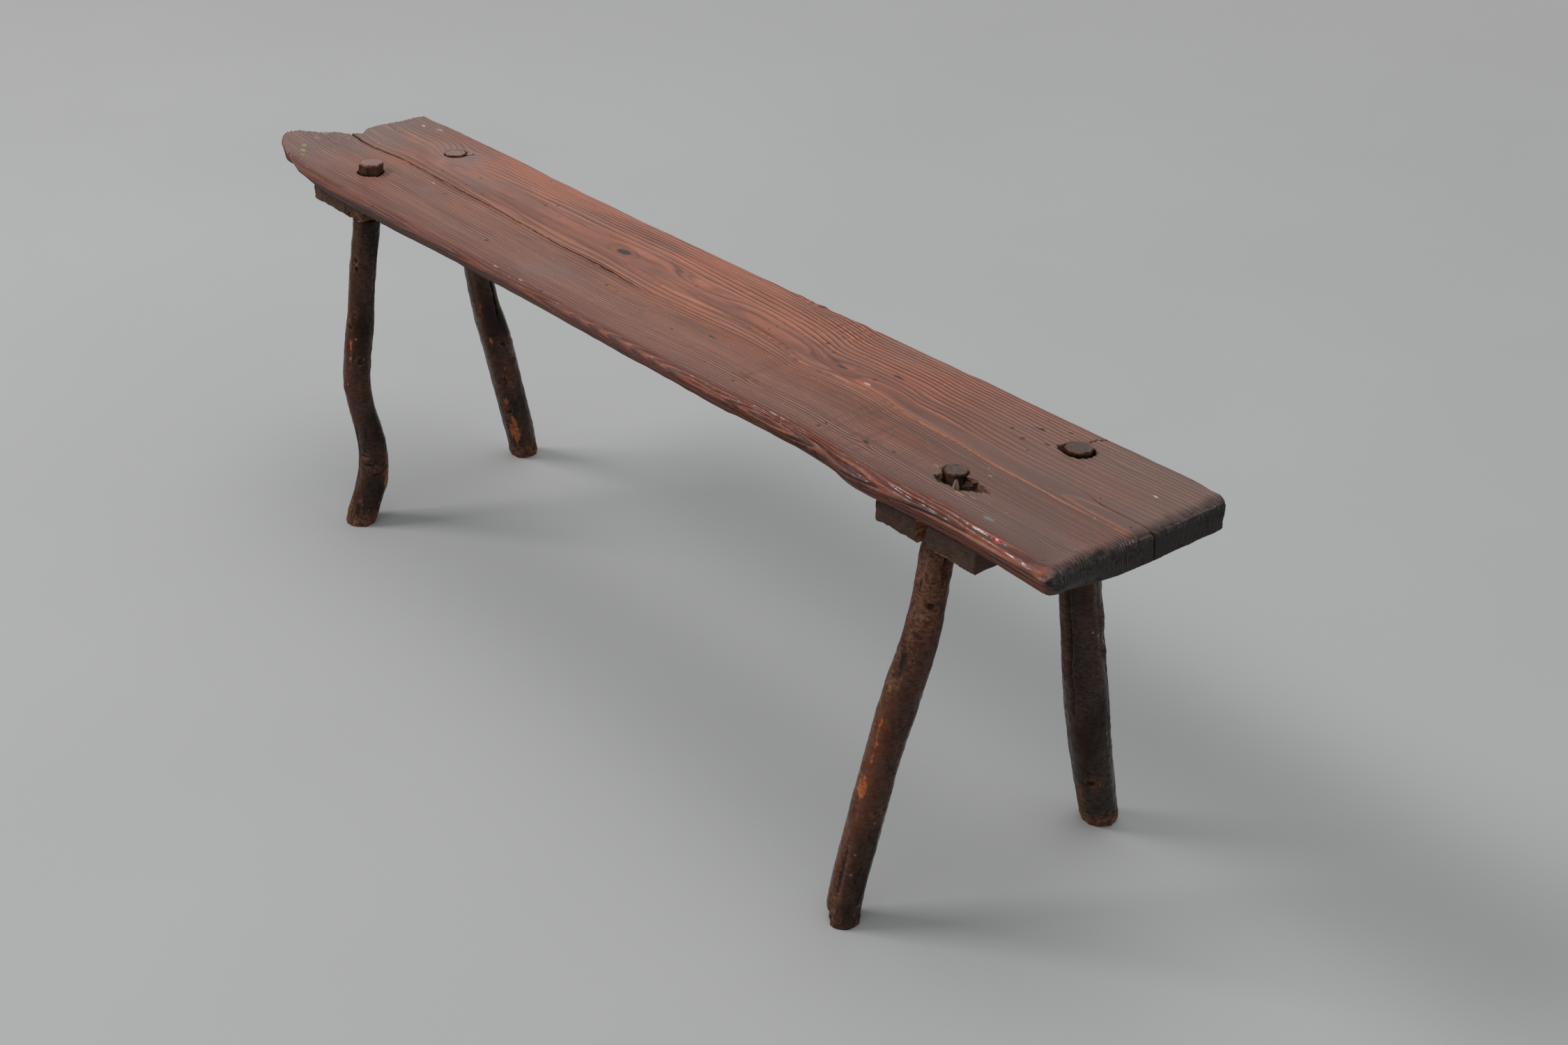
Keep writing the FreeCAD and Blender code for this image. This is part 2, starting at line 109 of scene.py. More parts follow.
# Ends, y and x
LEFT_END = (
    (-112, -590), (-104, -598), (-96, -628), (-87, -654), (-79, -676), (-72, -688.5),
    (-64, -699), (-55, -703), (-47, -701), (-40, -696), (-33, -687), (-26.5, -678),
    (-18, -671), (-10, -666), (-4, -655), (2, -649), (8, -642), (13, -638), (18, -642),
    (25, -648.5), (31, -651), (48, -653), (66, -652.4), (85, -650), (103, -649.6), (114, -643),
)
RIGHT_END = (
    (-112, 688), (-109, 696), (-106, 700), (-99.5, 702.6), (-80, 702), (-50, 701.5),
    (-10, 702.5), (12, 702.8), (40, 703), (80, 702.6), (100, 702.8), (107, 701.5), (112, 695),
)
# How far the left and the right end's shape is felt along the plank
END_REACH = (300.0, 60.0)
# Where the ends' outlines are read: y at the front edge, and the way to the back edge
END_START = -104.5
END_SPAN = 216.0

# Wear of the arrises: how far the rounding reaches in from each face
FRONT_ROUND = (9.0, 7.0)
BACK_ROUND = (4.5, 4.0)
# From here to the right the worn front arris is broader by this share
BEVEL_START = 320.0
BEVEL_GAIN = 0.95
LEFT_ROUND = 6.0
RIGHT_ROUND = 8.5
LOWER_ROUND = 2.5
# How far the front face lies behind the edge at each depth, and the share lost to the right
UNDERCUT = ((0, 0), (5, 0), (9, 1.8), (13.5, 5), (20, 11), (26, 17), (30, 20))
UNDERCUT_LOSS = 0.3

# ---------------------------------------------------------------- grain of the plank

# The line that the grain follows, x and y
GRAIN_LINE = (
    (-703, 3), (-648, 2), (-593, -2), (-521, 3), (-467, 2), (-411, 1), (-363, 0), (-278, -2),
    (-235, -4), (-165, -7), (-88, -7), (-35, -9.5), (9, -12), (50, -10.5), (92, -9),
    (144, -8), (195, -11), (228, -17), (247, -22), (300, -17), (364, -16.5), (391, -21),
    (431, -22), (491, -26.5), (534, -29.5), (572, -30.5), (662, -31.5), (703, -31),
)
RIDGE_OFFSET = 24.0
PITH_OFFSET = 37.0
PITH_DEPTH = 62.0
PITH_RISE = 0.008
# Number of the ring at the seat's surface over the pith, and the usual y of the front edge
FIRST_RING = 60
FRONT_LINE = -105.5

# Knots and swirls: x, y, reach along, reach across, how many rings they push up
SWIRLS = (
    (-96, 35, 34, 10, 1.7), (-96, 35, 10, 5.5, 0.8), (-485, 68, 36, 24, 3.0), (156, 107, 22, 9, 1.7),
    (420, -64, 13, 5.5, 1.5), (241, -62, 13, 5, 1.2), (285, 22, 34, 9, 1.5), (-330, 40, 120, 14, -0.8),
    (30, 42, 60, 9, 0.9), (560, 5, 60, 10, 0.8),
)
# Dense dark grain round the back left tenon: x, y, half length, half width
HALO = (-484, 67, 47, 34)
# Dark hearts of the knots: x, y, half length, half width, lift
KNOTS = (
    (-96, 35, 15, 7.5, 0.8), (156, 108, 9, 4.5, 0.6), (420, -64, 8, 3.6, 0.5),
    (241, -62, 9, 3.8, 0.5), (285, 25, 12, 3, 0.2), (338, 52, 11, 3, 0.3), (150, -30, 9, 2.5, 0.2),
)
# Dents, pits and scars: x, y, half length, half width, depth
DENTS = (
    (502, 80, 6, 3.0, 2.2), (529, 62, 4.5, 2.5, 1.6), (524, -9, 12, 3.0, 1.6), (479, -15, 14, 4.5, 1.5),
    (455, -22, 9, 2.5, 1.2), (637, 57, 5, 3.0, 1.0), (560, 92, 22, 3.0, 1.2), (600, 84, 16, 2.5, 1.0),
    (-520, -88, 22, 7.0, 1.6), (-474, -47, 12, 8.0, 2.0), (-360, -96, 24, 2.6, 1.4), (-200, -98, 18, 2.4, 1.6),
    (-60, -97, 16, 2.6, 1.4), (30, -98, 12, 2.0, 1.4), (330, -92, 22, 2.8, 1.8), (610, -84, 14, 3.0, 1.2),
    (676, -84, 19, 17.0, 3.2), (-640, -45, 14, 9.0, 0.8), (-610, 55, 16, 4.0, 0.8), (-150, -60, 4, 2.0, 0.8),
    (60, -60, 4.5, 1.8, 0.7), (-560, 24, 8, 2.0, 0.9), (-20, 88, 5, 2.0, 0.6), (210, 60, 5, 1.8, 0.6),
)
# Spots of old paint and plaster on the seat: x, y, half length, half width, colour
PAINT_SPOTS = (
    (-640, -66, 5, 3.0, (0.30, 0.33, 0.12)), (-625, -76, 6, 2.4, (0.30, 0.35, 0.14)),
    (-610, -84, 3, 1.8, (0.32, 0.33, 0.16)), (597, -78, 8, 2.6, (0.17, 0.2, 0.19)),
    (628, -97, 5, 2.8, (0.40, 0.03, 0.02)), (330, 18, 7, 1.8, (0.55, 0.45, 0.40)),
    (-479, 35, 9, 3.0, (0.40, 0.155, 0.075)), (-525, 22, 12, 1.6, (0.38, 0.14, 0.065)),
    (-668, -22, 9, 4.0, (0.33, 0.27, 0.22)), (-655, -40, 7, 3.0, (0.28, 0.24, 0.20)),
    (-585, 96, 8, 2.2, (0.42, 0.36, 0.27)), (-612, 88, 4, 2.4, (0.5, 0.46, 0.4)),
    (-420, -12, 3, 1.6, (0.45, 0.36, 0.28)), (-150, -97, 4, 1.3, (0.38, 0.31, 0.28)),
    (-100, -97, 4, 1.2, (0.4, 0.33, 0.3)), (660, 62, 3, 1.6, (0.55, 0.5, 0.46)),
    (548, -66, 7, 0.9, (0.36, 0.24, 0.16)), (562, -62, 5, 0.9, (0.30, 0.19, 0.13)),
    (497, -46, 4, 1.2, (0.26, 0.18, 0.14)), (541, -22, 3, 1.0, (0.40, 0.28, 0.20)),
)
# Long open crack: x and half width. It lies on the grain line.
LONG_CRACK = (
    (-668, 2.2), (-620, 1.4), (-560, 0.9), (-500, 0.75), (-400, 0.65), (-300, 0.55), (-200, 0.5),
    (-120, 0.5), (-88, 0.8), (-63, 1.5), (-46, 0.7), (-10, 0.45), (46, 0.25),
)

# Hollows in the seat: name, middle (x, y and height over the seat), half sizes, turn in
# degrees, seed, roughness
HOLLOWS = (
    ("crater", (533, -51, 0.5), (24, 13, 11), 3, 3, 0.18),
    ("crater_deep", (538, -47, -4), (12, 8, 18), 10, 5, 0.22),
    ("crater_front", (523, -58, 1), (12, 6.5, 9), 12, 7, 0.12),
    ("crater_tail", (552, -45, 1), (13, 4.5, 5), -4, 9, 0.22),
    ("pit", (502, 80, 0.5), (5, 2.2, 4), 4, 11, 0.22),
    ("small_pit", (529, 62, 0.5), (3.6, 2.0, 3), 0, 12, 0.22),
)

# ---------------------------------------------------------------- branches and battens

# From which height to which the tenons' holes are cut through the plank and the battens
PLANK_BORE = (415, 456)
BATTEN_BORE = (390, 424)
# Room round a tenon in its hole
BORE_GAP = 0.55
# Heights between which the battens have worm holes, and the least way from one to the next
WORM_LEVELS = (399, 416)
WORM_SPACING = 4.5
# Mean radius of a branch, for ways round it
GIRTH = 18.5

# Each leg: foot and tenon middles (x, y), tenon width, height proud of the seat
LEGS = {
    "front_left_leg": ((-488.5, -118.0), (-500.5, -51.0), 31.0, 13.0),
    "back_left_leg": ((-520.0, 150.0), (-493.0, 63.0), 27.0, 2.0),
    "front_right_leg": ((507.0, -156.0), (516.0, -40.0), 23.0, 2.5),
    "back_right_leg": ((547.0, 154.0), (557.0, 74.0), 27.0, 5.0),
}
# Lumps and hollows: z, direction in degrees, reach up, reach round (mm), height
LUMPS = {
    "front_left_leg": (
        (345, -84, 4, 4, -2.4), (336, -77, 5, 4, -2.0), (341, -80, 9, 7, 1.2), (268, -99, 9, 6, 1.8),
        (262, -92, 3, 3, -1.6), (279, -75, 6, 2.5, -1.4), (228, -86, 26, 2.5, -0.9), (220, -55, 6, 5, -1.4),
        (183, -104, 10, 6, 1.3), (118, 32, 16, 9, 1.6), (94, -30, 3, 8, -1.5), (88, -18, 3, 9, 1.3),
        (82, -5, 3, 9, -1.5), (75, 5, 3, 9, 1.2), (69, 15, 3, 8, -1.4), (52, 75, 8, 7, 2.2),
        (20, -50, 16, 9, -1.2), (6, -100, 7, 10, 1.0), (150, 150, 30, 10, 1.4), (250, 60, 40, 12, 0.8),
    ),
    "back_left_leg": (
        (183, -17, 5, 4.5, -4.2), (183, -17, 13, 9, 2.6), (166, -12, 6, 8, 1.0), (123, -26, 26, 5, 1.3),
        (128, -36, 20, 3, -1.2), (67, -60, 8, 5, 2.2), (76, -50, 5, 5, -1.6), (60, -72, 5, 5, 1.5),
        (45, -49, 18, 8, -1.3), (93, -53, 8, 4, -0.9), (200, 12, 30, 8, 1.6), (300, 120, 30, 10, 1.2),
        (8, -20, 9, 8, -1.0), (10, 20, 9, 7, -1.0), (250, -60, 60, 5, 0.7),
    ),
    "front_right_leg": (
        (303, -35, 4, 4, 1.6), (303, -35, 8, 8, -1.0), (320, -26, 7, 9, 1.4), (332, -26, 6, 8, -1.8),
        (350, -72, 14, 3, -1.3), (345, -55, 10, 5, 1.1), (274, -64, 22, 7, -1.6), (250, -72, 4, 9, 1.6),
        (296, -88, 6, 5, 1.3), (262, -96, 10, 4, 1.0), (146, -93, 20, 5, -0.9), (125, -29, 3, 9, -1.2),
        (121, -26, 3, 8, 0.9), (59, -87, 40, 3, -1.6), (50, -68, 36, 5, 1.4), (378, -10, 14, 5, -2.4),
        (14, 10, 9, 8, -1.6), (5, -128, 9, 11, -4.0), (210, 90, 40, 9, 1.1), (100, 150, 50, 8, 0.9),
    ),
    "back_right_leg": (
        (62, -58, 5, 5, -2.6), (64, -58, 13, 10, 1.7), (36, -104, 14, 6, -0.9), (264, 20, 22, 5, 1.8),
        (242, 22, 5, 5, -1.4), (225, 18, 9, 5, 1.6), (205, 24, 6, 4, -1.0), (340, 35, 30, 8, 1.2),
        (15, -20, 10, 12, -0.8), (160, 140, 60, 12, 1.2), (8, -60, 8, 8, -0.8), (300, 180, 50, 9, 1.0),
    ),
}
# Splits along a branch: z from, z to, direction at each end, half width, depth
SPLITS = {
    "front_left_leg": ((150, 215, 150, 158, 0.8, 2.5),),
    "back_left_leg": ((215, 300, -9, 6, 1.3, 6.0), (250, 340, 170, 160, 0.9, 3.0)),
    "front_right_leg": ((352, 394, -12, -4, 2.4, 7.0), (40, 110, -40, -36, 0.8, 2.0)),
    "back_right_leg": ((150, 392, -93, -90, 0.7, 9.0), (180, 290, 28, 20, 1.0, 3.0)),
}
# Bare and worn places: z, direction, reach up, reach round, strength. The first table is
# raw orange wood, the second is warm brown skin, the third is light brown rubbed bark.
BARE = {
    "front_left_leg": (
        (228, -86, 20, 1.6, 0.55), (72, 41, 26, 3.0, 0.5), (279, -75, 7, 2.0, 0.5), (12, -60, 9, 5, 0.45),
    ),
    "back_left_leg": (
        (42, -49, 17, 8, 1.0), (60, -42, 10, 4.5, 0.85), (93, -53, 6, 3, 0.9), (186, -52, 10, 2.4, 0.65),
        (223, -64, 22, 1.6, 0.55),
    ),
    "front_right_leg": (
        (150, -93, 19, 5.5, 0.85), (198, -81, 40, 2.4, 0.5), (251, -80, 6, 5, 0.45), (407, -60, 16, 30, 1.2),
    ),
    "back_right_leg": ((40, -104, 12, 3, 0.45),),
}
WARM = {
    "front_left_leg": ((260, -100, 130, 10, 0.7), (50, -85, 50, 14, 0.6), (100, 60, 60, 6, 0.5)),
    "back_left_leg": ((260, -75, 90, 7, 0.85), (120, -95, 60, 8, 0.6)),
    "front_right_leg": ((180, -92, 95, 13, 1.5), (90, -110, 70, 12, 1.0), (330, -60, 60, 20, 0.6)),
    "back_right_leg": ((300, -30, 110, 12, 0.3), (120, -80, 60, 10, 0.2)),
}
RUBBED = {
    "front_left_leg": (
        (4, -45, 17, 60, 0.85), (268, -99, 11, 6, 0.9), (345, -80, 12, 7, 0.75), (90, -28, 10, 10, 0.6),
        (26, -95, 22, 9, 0.8), (74, 5, 10, 12, 0.5),
    ),
    "back_left_leg": (
        (2, 0, 17, 70, 1.2), (300, -62, 70, 3, 0.5), (130, -24, 40, 9, 0.6), (75, -60, 26, 8, 0.65),
        (185, -17, 14, 10, 0.5),
    ),
    "front_right_leg": (
        (350, -60, 70, 24, 1.0), (320, -28, 18, 14, 1.0), (255, -88, 18, 9, 0.9), (16, -90, 26, 12, 0.6),
        (125, -40, 8, 8, 0.5),
    ),
    "back_right_leg": (
        (2, -60, 15, 70, 1.0), (250, -110, 130, 6, 0.6), (62, -52, 14, 10, 0.6), (34, -104, 18, 9, 0.85),
        (264, 20, 24, 6, 0.5),
    ),
}

# ---------------------------------------------------------------- light and camera

# Area lamps: name, place, the point it faces, size, power
LAMPS = (
    ("key", (-4.8, -4.4, 6.8), (0.2, -0.3, 0.1), (3.2, 2.4), 400),
    ("top", (0.6, 0.6, 8.0), (0.2, 0.0, 0.3), (5.6, 4.6), 160),
)
# Strength of the even light from all round
FILL = 0.5
CAMERA_PLACE = (1.7316, -1.2240, 1.3274)
# Turn of the camera in degrees
CAMERA_TURN = (61.2, 0.0, 50.9)
FLOOR_SIZE = 30.0

# ---------------------------------------------------------------- settings


def length(name, description, default):
    return FloatProperty(
        name=name, description=description, default=default, min=0.0, unit="LENGTH", precision=5)


def colour(name, description, default):
    return FloatVectorProperty(
        name=name, description=description, default=default, size=3, min=0.0, max=1.0, subtype="COLOR")


class BenchPlankSettings(bpy.types.PropertyGroup):
    front_ring: length("Front ring width", "Width of a growth ring in the tight front half", 0.0034)
    back_ring: length("Back ring width", "Width of a growth ring in the open back half", 0.0043)
    ridge: length("Ridge height", "Height of the raised late wood on the seat", 0.0006)
    edge_ridge: length("Edge ridge height", "Height of the layers on the weathered front edge", 0.0024)
    early_wood: colour("Early wood", "Soft grey-brown wood between the ridges", (0.176, 0.080, 0.060))
    late_wood: colour("Late wood", "Hard orange ridges", (0.47, 0.138, 0.058))
    red_film: colour("Red film", "Old red stain on rubbed edges", (0.085, 0.021, 0.012))
    grey_film: colour("Grey film", "Grey-brown grime at the right end", (0.125, 0.079, 0.069))
    left_film: colour("Left end film", "Paler grey film at the left end", (0.172, 0.130, 0.119))
    end_grain: colour("End grain", "Dark wood on the sawn ends", (0.016, 0.0108, 0.0096))
    torn_wood: colour("Torn wood", "Broken fibres in cracks and hollows", (0.14, 0.062, 0.035))


class BenchBranchSettings(bpy.types.PropertyGroup):
    dark_skin: colour("Dark skin", "Stained skin of the branches", (0.0135, 0.0062, 0.0036))
    brown_skin: colour("Brown streaks", "Warmer streaks in the skin", (0.10, 0.028, 0.009))
    bare_wood: colour("Bare wood", "Orange wood where the skin is gone", (0.44, 0.14, 0.05))
    rubbed_wood: colour("Rubbed wood", "Light brown worn bark", (0.23, 0.105, 0.062))
    head_wood: colour("Tenon heads", "Smooth grey-brown end of a tenon", (0.105, 0.072, 0.06))


class BenchBattenSettings(bpy.types.PropertyGroup):
    dull_wood: colour("Dull wood", "Dark grey-brown batten wood", (0.135, 0.072, 0.05))
    crumbs: colour("Crumbs", "Tan crumbs and broken fibres", (0.32, 0.19, 0.11))
    wedge_wood: colour("Wedge wood", "Pale wedge wood", (0.60, 0.43, 0.30))


class BenchStageSettings(bpy.types.PropertyGroup):
    floor: colour("Floor", "Plain pale floor", (0.41, 0.41, 0.403))
    backdrop: colour("Backdrop", "Plain pale ground behind the bench", (0.40, 0.40, 0.395))
    lens: length("Lens", "Focal length of the camera on a 36 mm sensor", 0.04938)


# ---------------------------------------------------------------- numbers

LATTICE_SIZE = 32
LATTICE = np.random.default_rng(11).uniform(-1.0, 1.0, (LATTICE_SIZE,) * 3)
RING_STRENGTH = np.random.default_rng(5).uniform(0.3, 1.3, 256)


def noise(points, size, seed=0.0):
    """Smooth noise from -1 to 1. points is an array of places in mm, size the grain size by axis."""
    place = points / np.asarray(size, float) + seed * 5.37
    cell = np.floor(place).astype(int)
    part = place - cell
    part = part * part * (3 - 2 * part)
    low = cell % LATTICE_SIZE
    high = (cell + 1) % LATTICE_SIZE
    total = 0.0
    for corner in np.ndindex(2, 2, 2):
        index = [np.where(bit, high[:, i], low[:, i]) for i, bit in enumerate(corner)]
        share = 1.0
        for i, bit in enumerate(corner):
            share = share * (part[:, i] if bit else 1 - part[:, i])
        total = total + LATTICE[index[0], index[1], index[2]] * share
    return total


def layered_noise(points, size, seed=0.0, layers=3):
    """Noise with finer and weaker layers added."""
    size = np.asarray(size, float)
    return sum(noise(points, size / 2 ** i, seed + i) / 2 ** i for i in range(layers))


def follow(points, at):
    """A smooth curve through the points (place, value), read at the given places."""
    places, values = np.array(points, float).T
    slopes = np.gradient(values, places)
    i = np.clip(np.searchsorted(places, at) - 1, 0, len(places) - 2)
    step = places[i + 1] - places[i]
    t = np.clip((at - places[i]) / step, 0, 1)
    return (
        values[i] * (1 + 2 * t) * (1 - t) ** 2 + slopes[i] * step * t * (1 - t) ** 2
        + values[i + 1] * t * t * (3 - 2 * t) + slopes[i + 1] * step * t * t * (t - 1)
    )


def ease(low, high, value):
    """0 below low, 1 above high, smooth between."""
    t = np.clip((value - low) / (high - low), 0, 1)
    return t * t * (3 - 2 * t)


def bell(value, reach):
    """1 in the middle, falling off smoothly over the reach."""
    return np.exp(-((value / reach) ** 2))


def spread(count, low, high, busy):
    """count + 1 places from low to high, closer together round each (middle, reach, gain)."""
    fine = np.linspace(low, high, 6000)
    weight = 1.0 + sum(gain * bell(fine - middle, reach) for middle, reach, gain in busy)
    total = np.cumsum(weight)
    total = (total - total[0]) / (total[-1] - total[0])
    return np.interp(np.linspace(0, 1, count + 1), total, fine)


def at_share(share, places):
    """Turns even shares from 0 to 1 into the given places."""
    return np.interp(share, np.linspace(0, 1, len(places)), places)


def oval(points, x, y, reach_x, reach_y):
    """Distance from a spot on the seat, as a share of its reach along and across."""
    return np.hypot((points[:, 0] - x) / reach_x, (points[:, 1] - y) / reach_y)


def turn_from(angle, direction):
    """The turn from a direction in degrees to each angle, from -pi to pi."""
    return (angle - math.radians(direction) + math.pi) % (2 * math.pi) - math.pi


def ring_of_places(angle, z, radius=19):
    """Places round an upright line, so that noise read there closes on itself."""
    return np.stack([np.cos(angle) * radius, np.sin(angle) * radius, z], 1)


# ---------------------------------------------------------------- meshes


def read_points(mesh):
    points = np.empty(len(mesh.vertices) * 3)
    mesh.vertices.foreach_get("co", points)
    return points.reshape(-1, 3)


def write_points(mesh, points):
    mesh.vertices.foreach_set("co", np.ascontiguousarray(points, dtype=float).ravel())
    mesh.update()


def keep_inside(points):
    """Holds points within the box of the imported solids."""
    low, high = (np.array(corner) for corner in CAD_BOX)
    return np.clip(points, low + 0.0001 * (low < -0.01), high - 0.0001)


def read_normals(mesh):
    normals = np.empty(len(mesh.vertices) * 3, np.float32)
    mesh.vertex_normals.foreach_get("vector", normals)
    return normals.reshape(-1, 3).astype(float)


def write_value(mesh, name, values):
    layer = mesh.attributes.get(name) or mesh.attributes.new(name, "FLOAT", "POINT")
    layer.data.foreach_set("value", np.asarray(values, np.float32))


def read_value(mesh, name):
    values = np.zeros(len(mesh.vertices), np.float32)
    if name in mesh.attributes:
        mesh.attributes[name].data.foreach_get("value", values)
    return values.astype(float)


def to_object(bm, name):
    """A new object from a bmesh, with smooth faces that point outwards."""
    bmesh.ops.recalc_face_normals(bm, faces=list(bm.faces))
    for face in bm.faces:
        face.smooth = True
    mesh = bpy.data.meshes.new(name)
    bm.to_mesh(mesh)
    bm.free()
    piece = bpy.data.objects.new(name, mesh)
    bpy.context.scene.collection.objects.link(piece)
    return piece


def block(name, cuts_x, cuts_y, cuts_z):
    """A closed box from 0 to 1 on each axis, cut into a grid."""
    bm = bmesh.new()
    bmesh.ops.create_cube(bm, size=1.0)
    bmesh.ops.translate(bm, verts=list(bm.verts), vec=(0.5, 0.5, 0.5))
    for axis, cuts in enumerate((cuts_x, cuts_y, cuts_z)):
        across = [e for e in bm.edges if abs(e.verts[0].co[axis] - e.verts[1].co[axis]) > 0.5]
        if cuts:
            bmesh.ops.subdivide_edges(bm, edges=across, cuts=cuts, use_grid_fill=True)
    return to_object(bm, name)


def rod(name, sides, steps, rings):
    """A closed rod of radius 1 from z 0 to 1, with rings of points on both ends."""
    bm = bmesh.new()
    bmesh.ops.create_cone(bm, cap_ends=True, segments=sides, radius1=1.0, radius2=1.0, depth=1.0)
    bmesh.ops.translate(bm, verts=list(bm.verts), vec=(0, 0, 0.5))
    caps = [f for f in bm.faces if len(f.verts) == sides]
    upright = [e for e in bm.edges if abs(e.verts[0].co.z - e.verts[1].co.z) > 0.5]
    bmesh.ops.subdivide_edges(bm, edges=upright, cuts=steps - 1, use_grid_fill=True)
    for _ in range(rings):
        bmesh.ops.inset_individual(bm, faces=caps, thickness=0.97 / rings, use_even_offset=False)
    bmesh.ops.poke(bm, faces=caps)
    return to_object(bm, name)


def bake_modifiers(piece):
    """Gives a piece the mesh that its modifiers make of it."""
    bpy.context.view_layer.update()
    evaluated = piece.evaluated_get(bpy.context.evaluated_depsgraph_get())
    mesh = bpy.data.meshes.new_from_object(evaluated)
    piece.modifiers.clear()
    old = piece.data
    piece.data = mesh
    bpy.data.meshes.remove(old)
    mesh.name = piece.name


def cut_away(piece, cutters):
    """Cuts the cutters out of a piece and deletes them. Cut faces get material slot 1."""
    for cutter in cutters:
        cutter.data.polygons.foreach_set("material_index", [1] * len(cutter.data.polygons))
        while len(cutter.data.materials) < 2:
            cutter.data.materials.append(None)
        step = piece.modifiers.new("cut", "BOOLEAN")
        step.operation = "DIFFERENCE"
        step.solver = "MANIFOLD"
        step.material_mode = "INDEX"
        step.object = cutter
    bake_modifiers(piece)
    for cutter in cutters:
        mesh = cutter.data
        bpy.data.objects.remove(cutter)
        bpy.data.meshes.remove(mesh)


def finish_piece(piece, node):
    """Hands a finished piece to the frame in place of a node's plain solid."""
    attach(piece, "root")
    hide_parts(node)


# ---------------------------------------------------------------- the plank's shape


def broad_front(x):
    """1 where the worn front arris is broad, 0 to the left of there."""
    return ease(BEVEL_START - 130, BEVEL_START + 60, x)


def plank_plan(along, across, down):
    """Places in the bench frame for places on the squared block, all in mm.

    along is measured from the left end, across from the front edge, down from the top.
    """
    front = 1 - ease(60, 120, across)
    broad = 1 + BEVEL_GAIN * broad_front(along - HALF_LENGTH)
    reach_across = np.where(across < HALF_WIDTH, FRONT_ROUND[0] * broad, BACK_ROUND[0])
    reach_down = FRONT_ROUND[1] * broad * front + BACK_ROUND[1] * (1 - front)
    reach_down = np.where(down > THICKNESS / 2, LOWER_ROUND, reach_down)
    width = 2 * HALF_WIDTH
    place = np.stack([along, across, down * 0], 1)
    uneven = 1 + 0.3 * noise(place, (60, 40, 9), 17) + 0.2 * noise(place, (14, 12, 9), 18)
    reach_along = np.where(along < HALF_LENGTH, LEFT_ROUND, RIGHT_ROUND) * uneven
    worn_end = 2.5 * ease(40, 10, PLANK_LENGTH - along) * (down < 15)
    reach_down = np.where(along > HALF_LENGTH, reach_down + worn_end, reach_down)
    reach_across = reach_across * uneven
    inner = np.stack([
        np.clip(along, reach_along, PLANK_LENGTH - reach_along),
        np.clip(across, reach_across, width - reach_across),
        np.clip(down, reach_down, THICKNESS - reach_down),
    ])
    reach = np.stack([reach_along, reach_across, reach_down])
    offset = (np.stack([along, across, down]) - inner) / reach
    offset /= np.maximum(np.sqrt((offset ** 2).sum(0)), 1e-9)
    along, across, down = inner + reach * offset

    x = along - HALF_LENGTH
    share = across / width
    level = END_START + share * END_SPAN
    left = (follow(LEFT_END, level) + HALF_LENGTH) * np.clip(1 - along / END_REACH[0], 0, 1) ** 1.5
    right = (follow(RIGHT_END, level) - HALF_LENGTH) * np.clip(1 - (PLANK_LENGTH - along) / END_REACH[1], 0, 1)
    x = x + left + right
    low_corner = ease(14, 30, down) * ease(-20, -95, level) * np.clip(1 - (PLANK_LENGTH - along) / 40, 0, 1)
    x = x - 13 * low_corner
    low, high = follow(FRONT_EDGE, x), follow(BACK_EDGE, x)
    y = low + share * (high - low)
    y = y + np.maximum(0, -y / HALF_WIDTH) * undercut(x, down)
    return np.stack([x, y, SEAT_TOP - down], 1)


def undercut(x, down):
    """How far the front face lies behind the edge at each depth, in mm."""
    return follow(UNDERCUT, down) * ease(-712, -630, x) * (1 - UNDERCUT_LOSS * ease(320, 480, x))


def grain_offset(points):
    """How far each point lies behind the line that the grain follows."""
    hold = 0.35 + 0.65 * bell(points[:, 1] - 2, 60)
    return points[:, 1] - follow(GRAIN_LINE, points[:, 0]) * hold


def face_mask(points):
    """1 on the undercut front face of the plank, 0 a little way inside."""
    low = follow(FRONT_EDGE, points[:, 0])
    face = low + np.maximum(0, -low / HALF_WIDTH) * undercut(points[:, 0], SEAT_TOP - points[:, 2])
    return 1 - ease(4, 14, points[:, 1] - face)


def growth_rings(points):
    """The number of growth rings inside each point."""
    plank = bpy.context.scene.bench_plank
    x, y, z = points.T
    front_edge = follow(FRONT_EDGE, x)
    face = face_mask(points)
    offset = grain_offset(points) - PITH_OFFSET - face * (front_edge - FRONT_LINE)
    to_right = ease(-130, 330, x)
    deep = PITH_DEPTH - 48 * to_right
    radius = np.hypot(offset, z - SEAT_TOP + deep) - deep - PITH_RISE * x
    back = plank.back_ring * (0.72 + 0.28 * ease(-350, 250, x))
    width = plank.front_ring + (back - plank.front_ring) * ease(-25, 25, offset)
    rings = FIRST_RING + radius / (width / MM)
    rings += (1 - 0.6 * face) * (0.55 * noise(points, (190, 26, 26), 1) + 0.22 * noise(points, (60, 9, 9), 2))
    rings += 0.5 * noise(np.stack([rings, 0 * rings, 0 * rings], 1), (3.7, 1, 1), 33)
    # the rings lie closer beside the front edge
    beside = np.clip(16 - (y - front_edge), 0, 30)
    rings -= 0.2 * beside ** 2 / (beside + 5) / (plank.front_ring / MM)
    # down the front and the back face they run as nearly level layers
    layers = 1.0 - 4.5 * ease(-130, 240, x)
    rings += face * layers * (SEAT_TOP - 4 - z) / THICKNESS
    behind = 1 - ease(4, 14, follow(BACK_EDGE, x) - y)
    lower = np.maximum(0, SEAT_TOP - 4 - z) / THICKNESS
    rings -= 6.5 * to_right * behind * lower
    for middle_x, middle_y, reach_x, reach_y, count in SWIRLS:
        rings += count * bell(x - middle_x, reach_x) * bell(y - middle_y, reach_y)
    return rings


def ring_profile(rings):
    """1 on the hard late wood of each ring and 0 in the soft early wood."""
    part = rings % 1.0
    return ease(0.1, 0.6, part) * (1 - ease(0.68, 1.0, part))


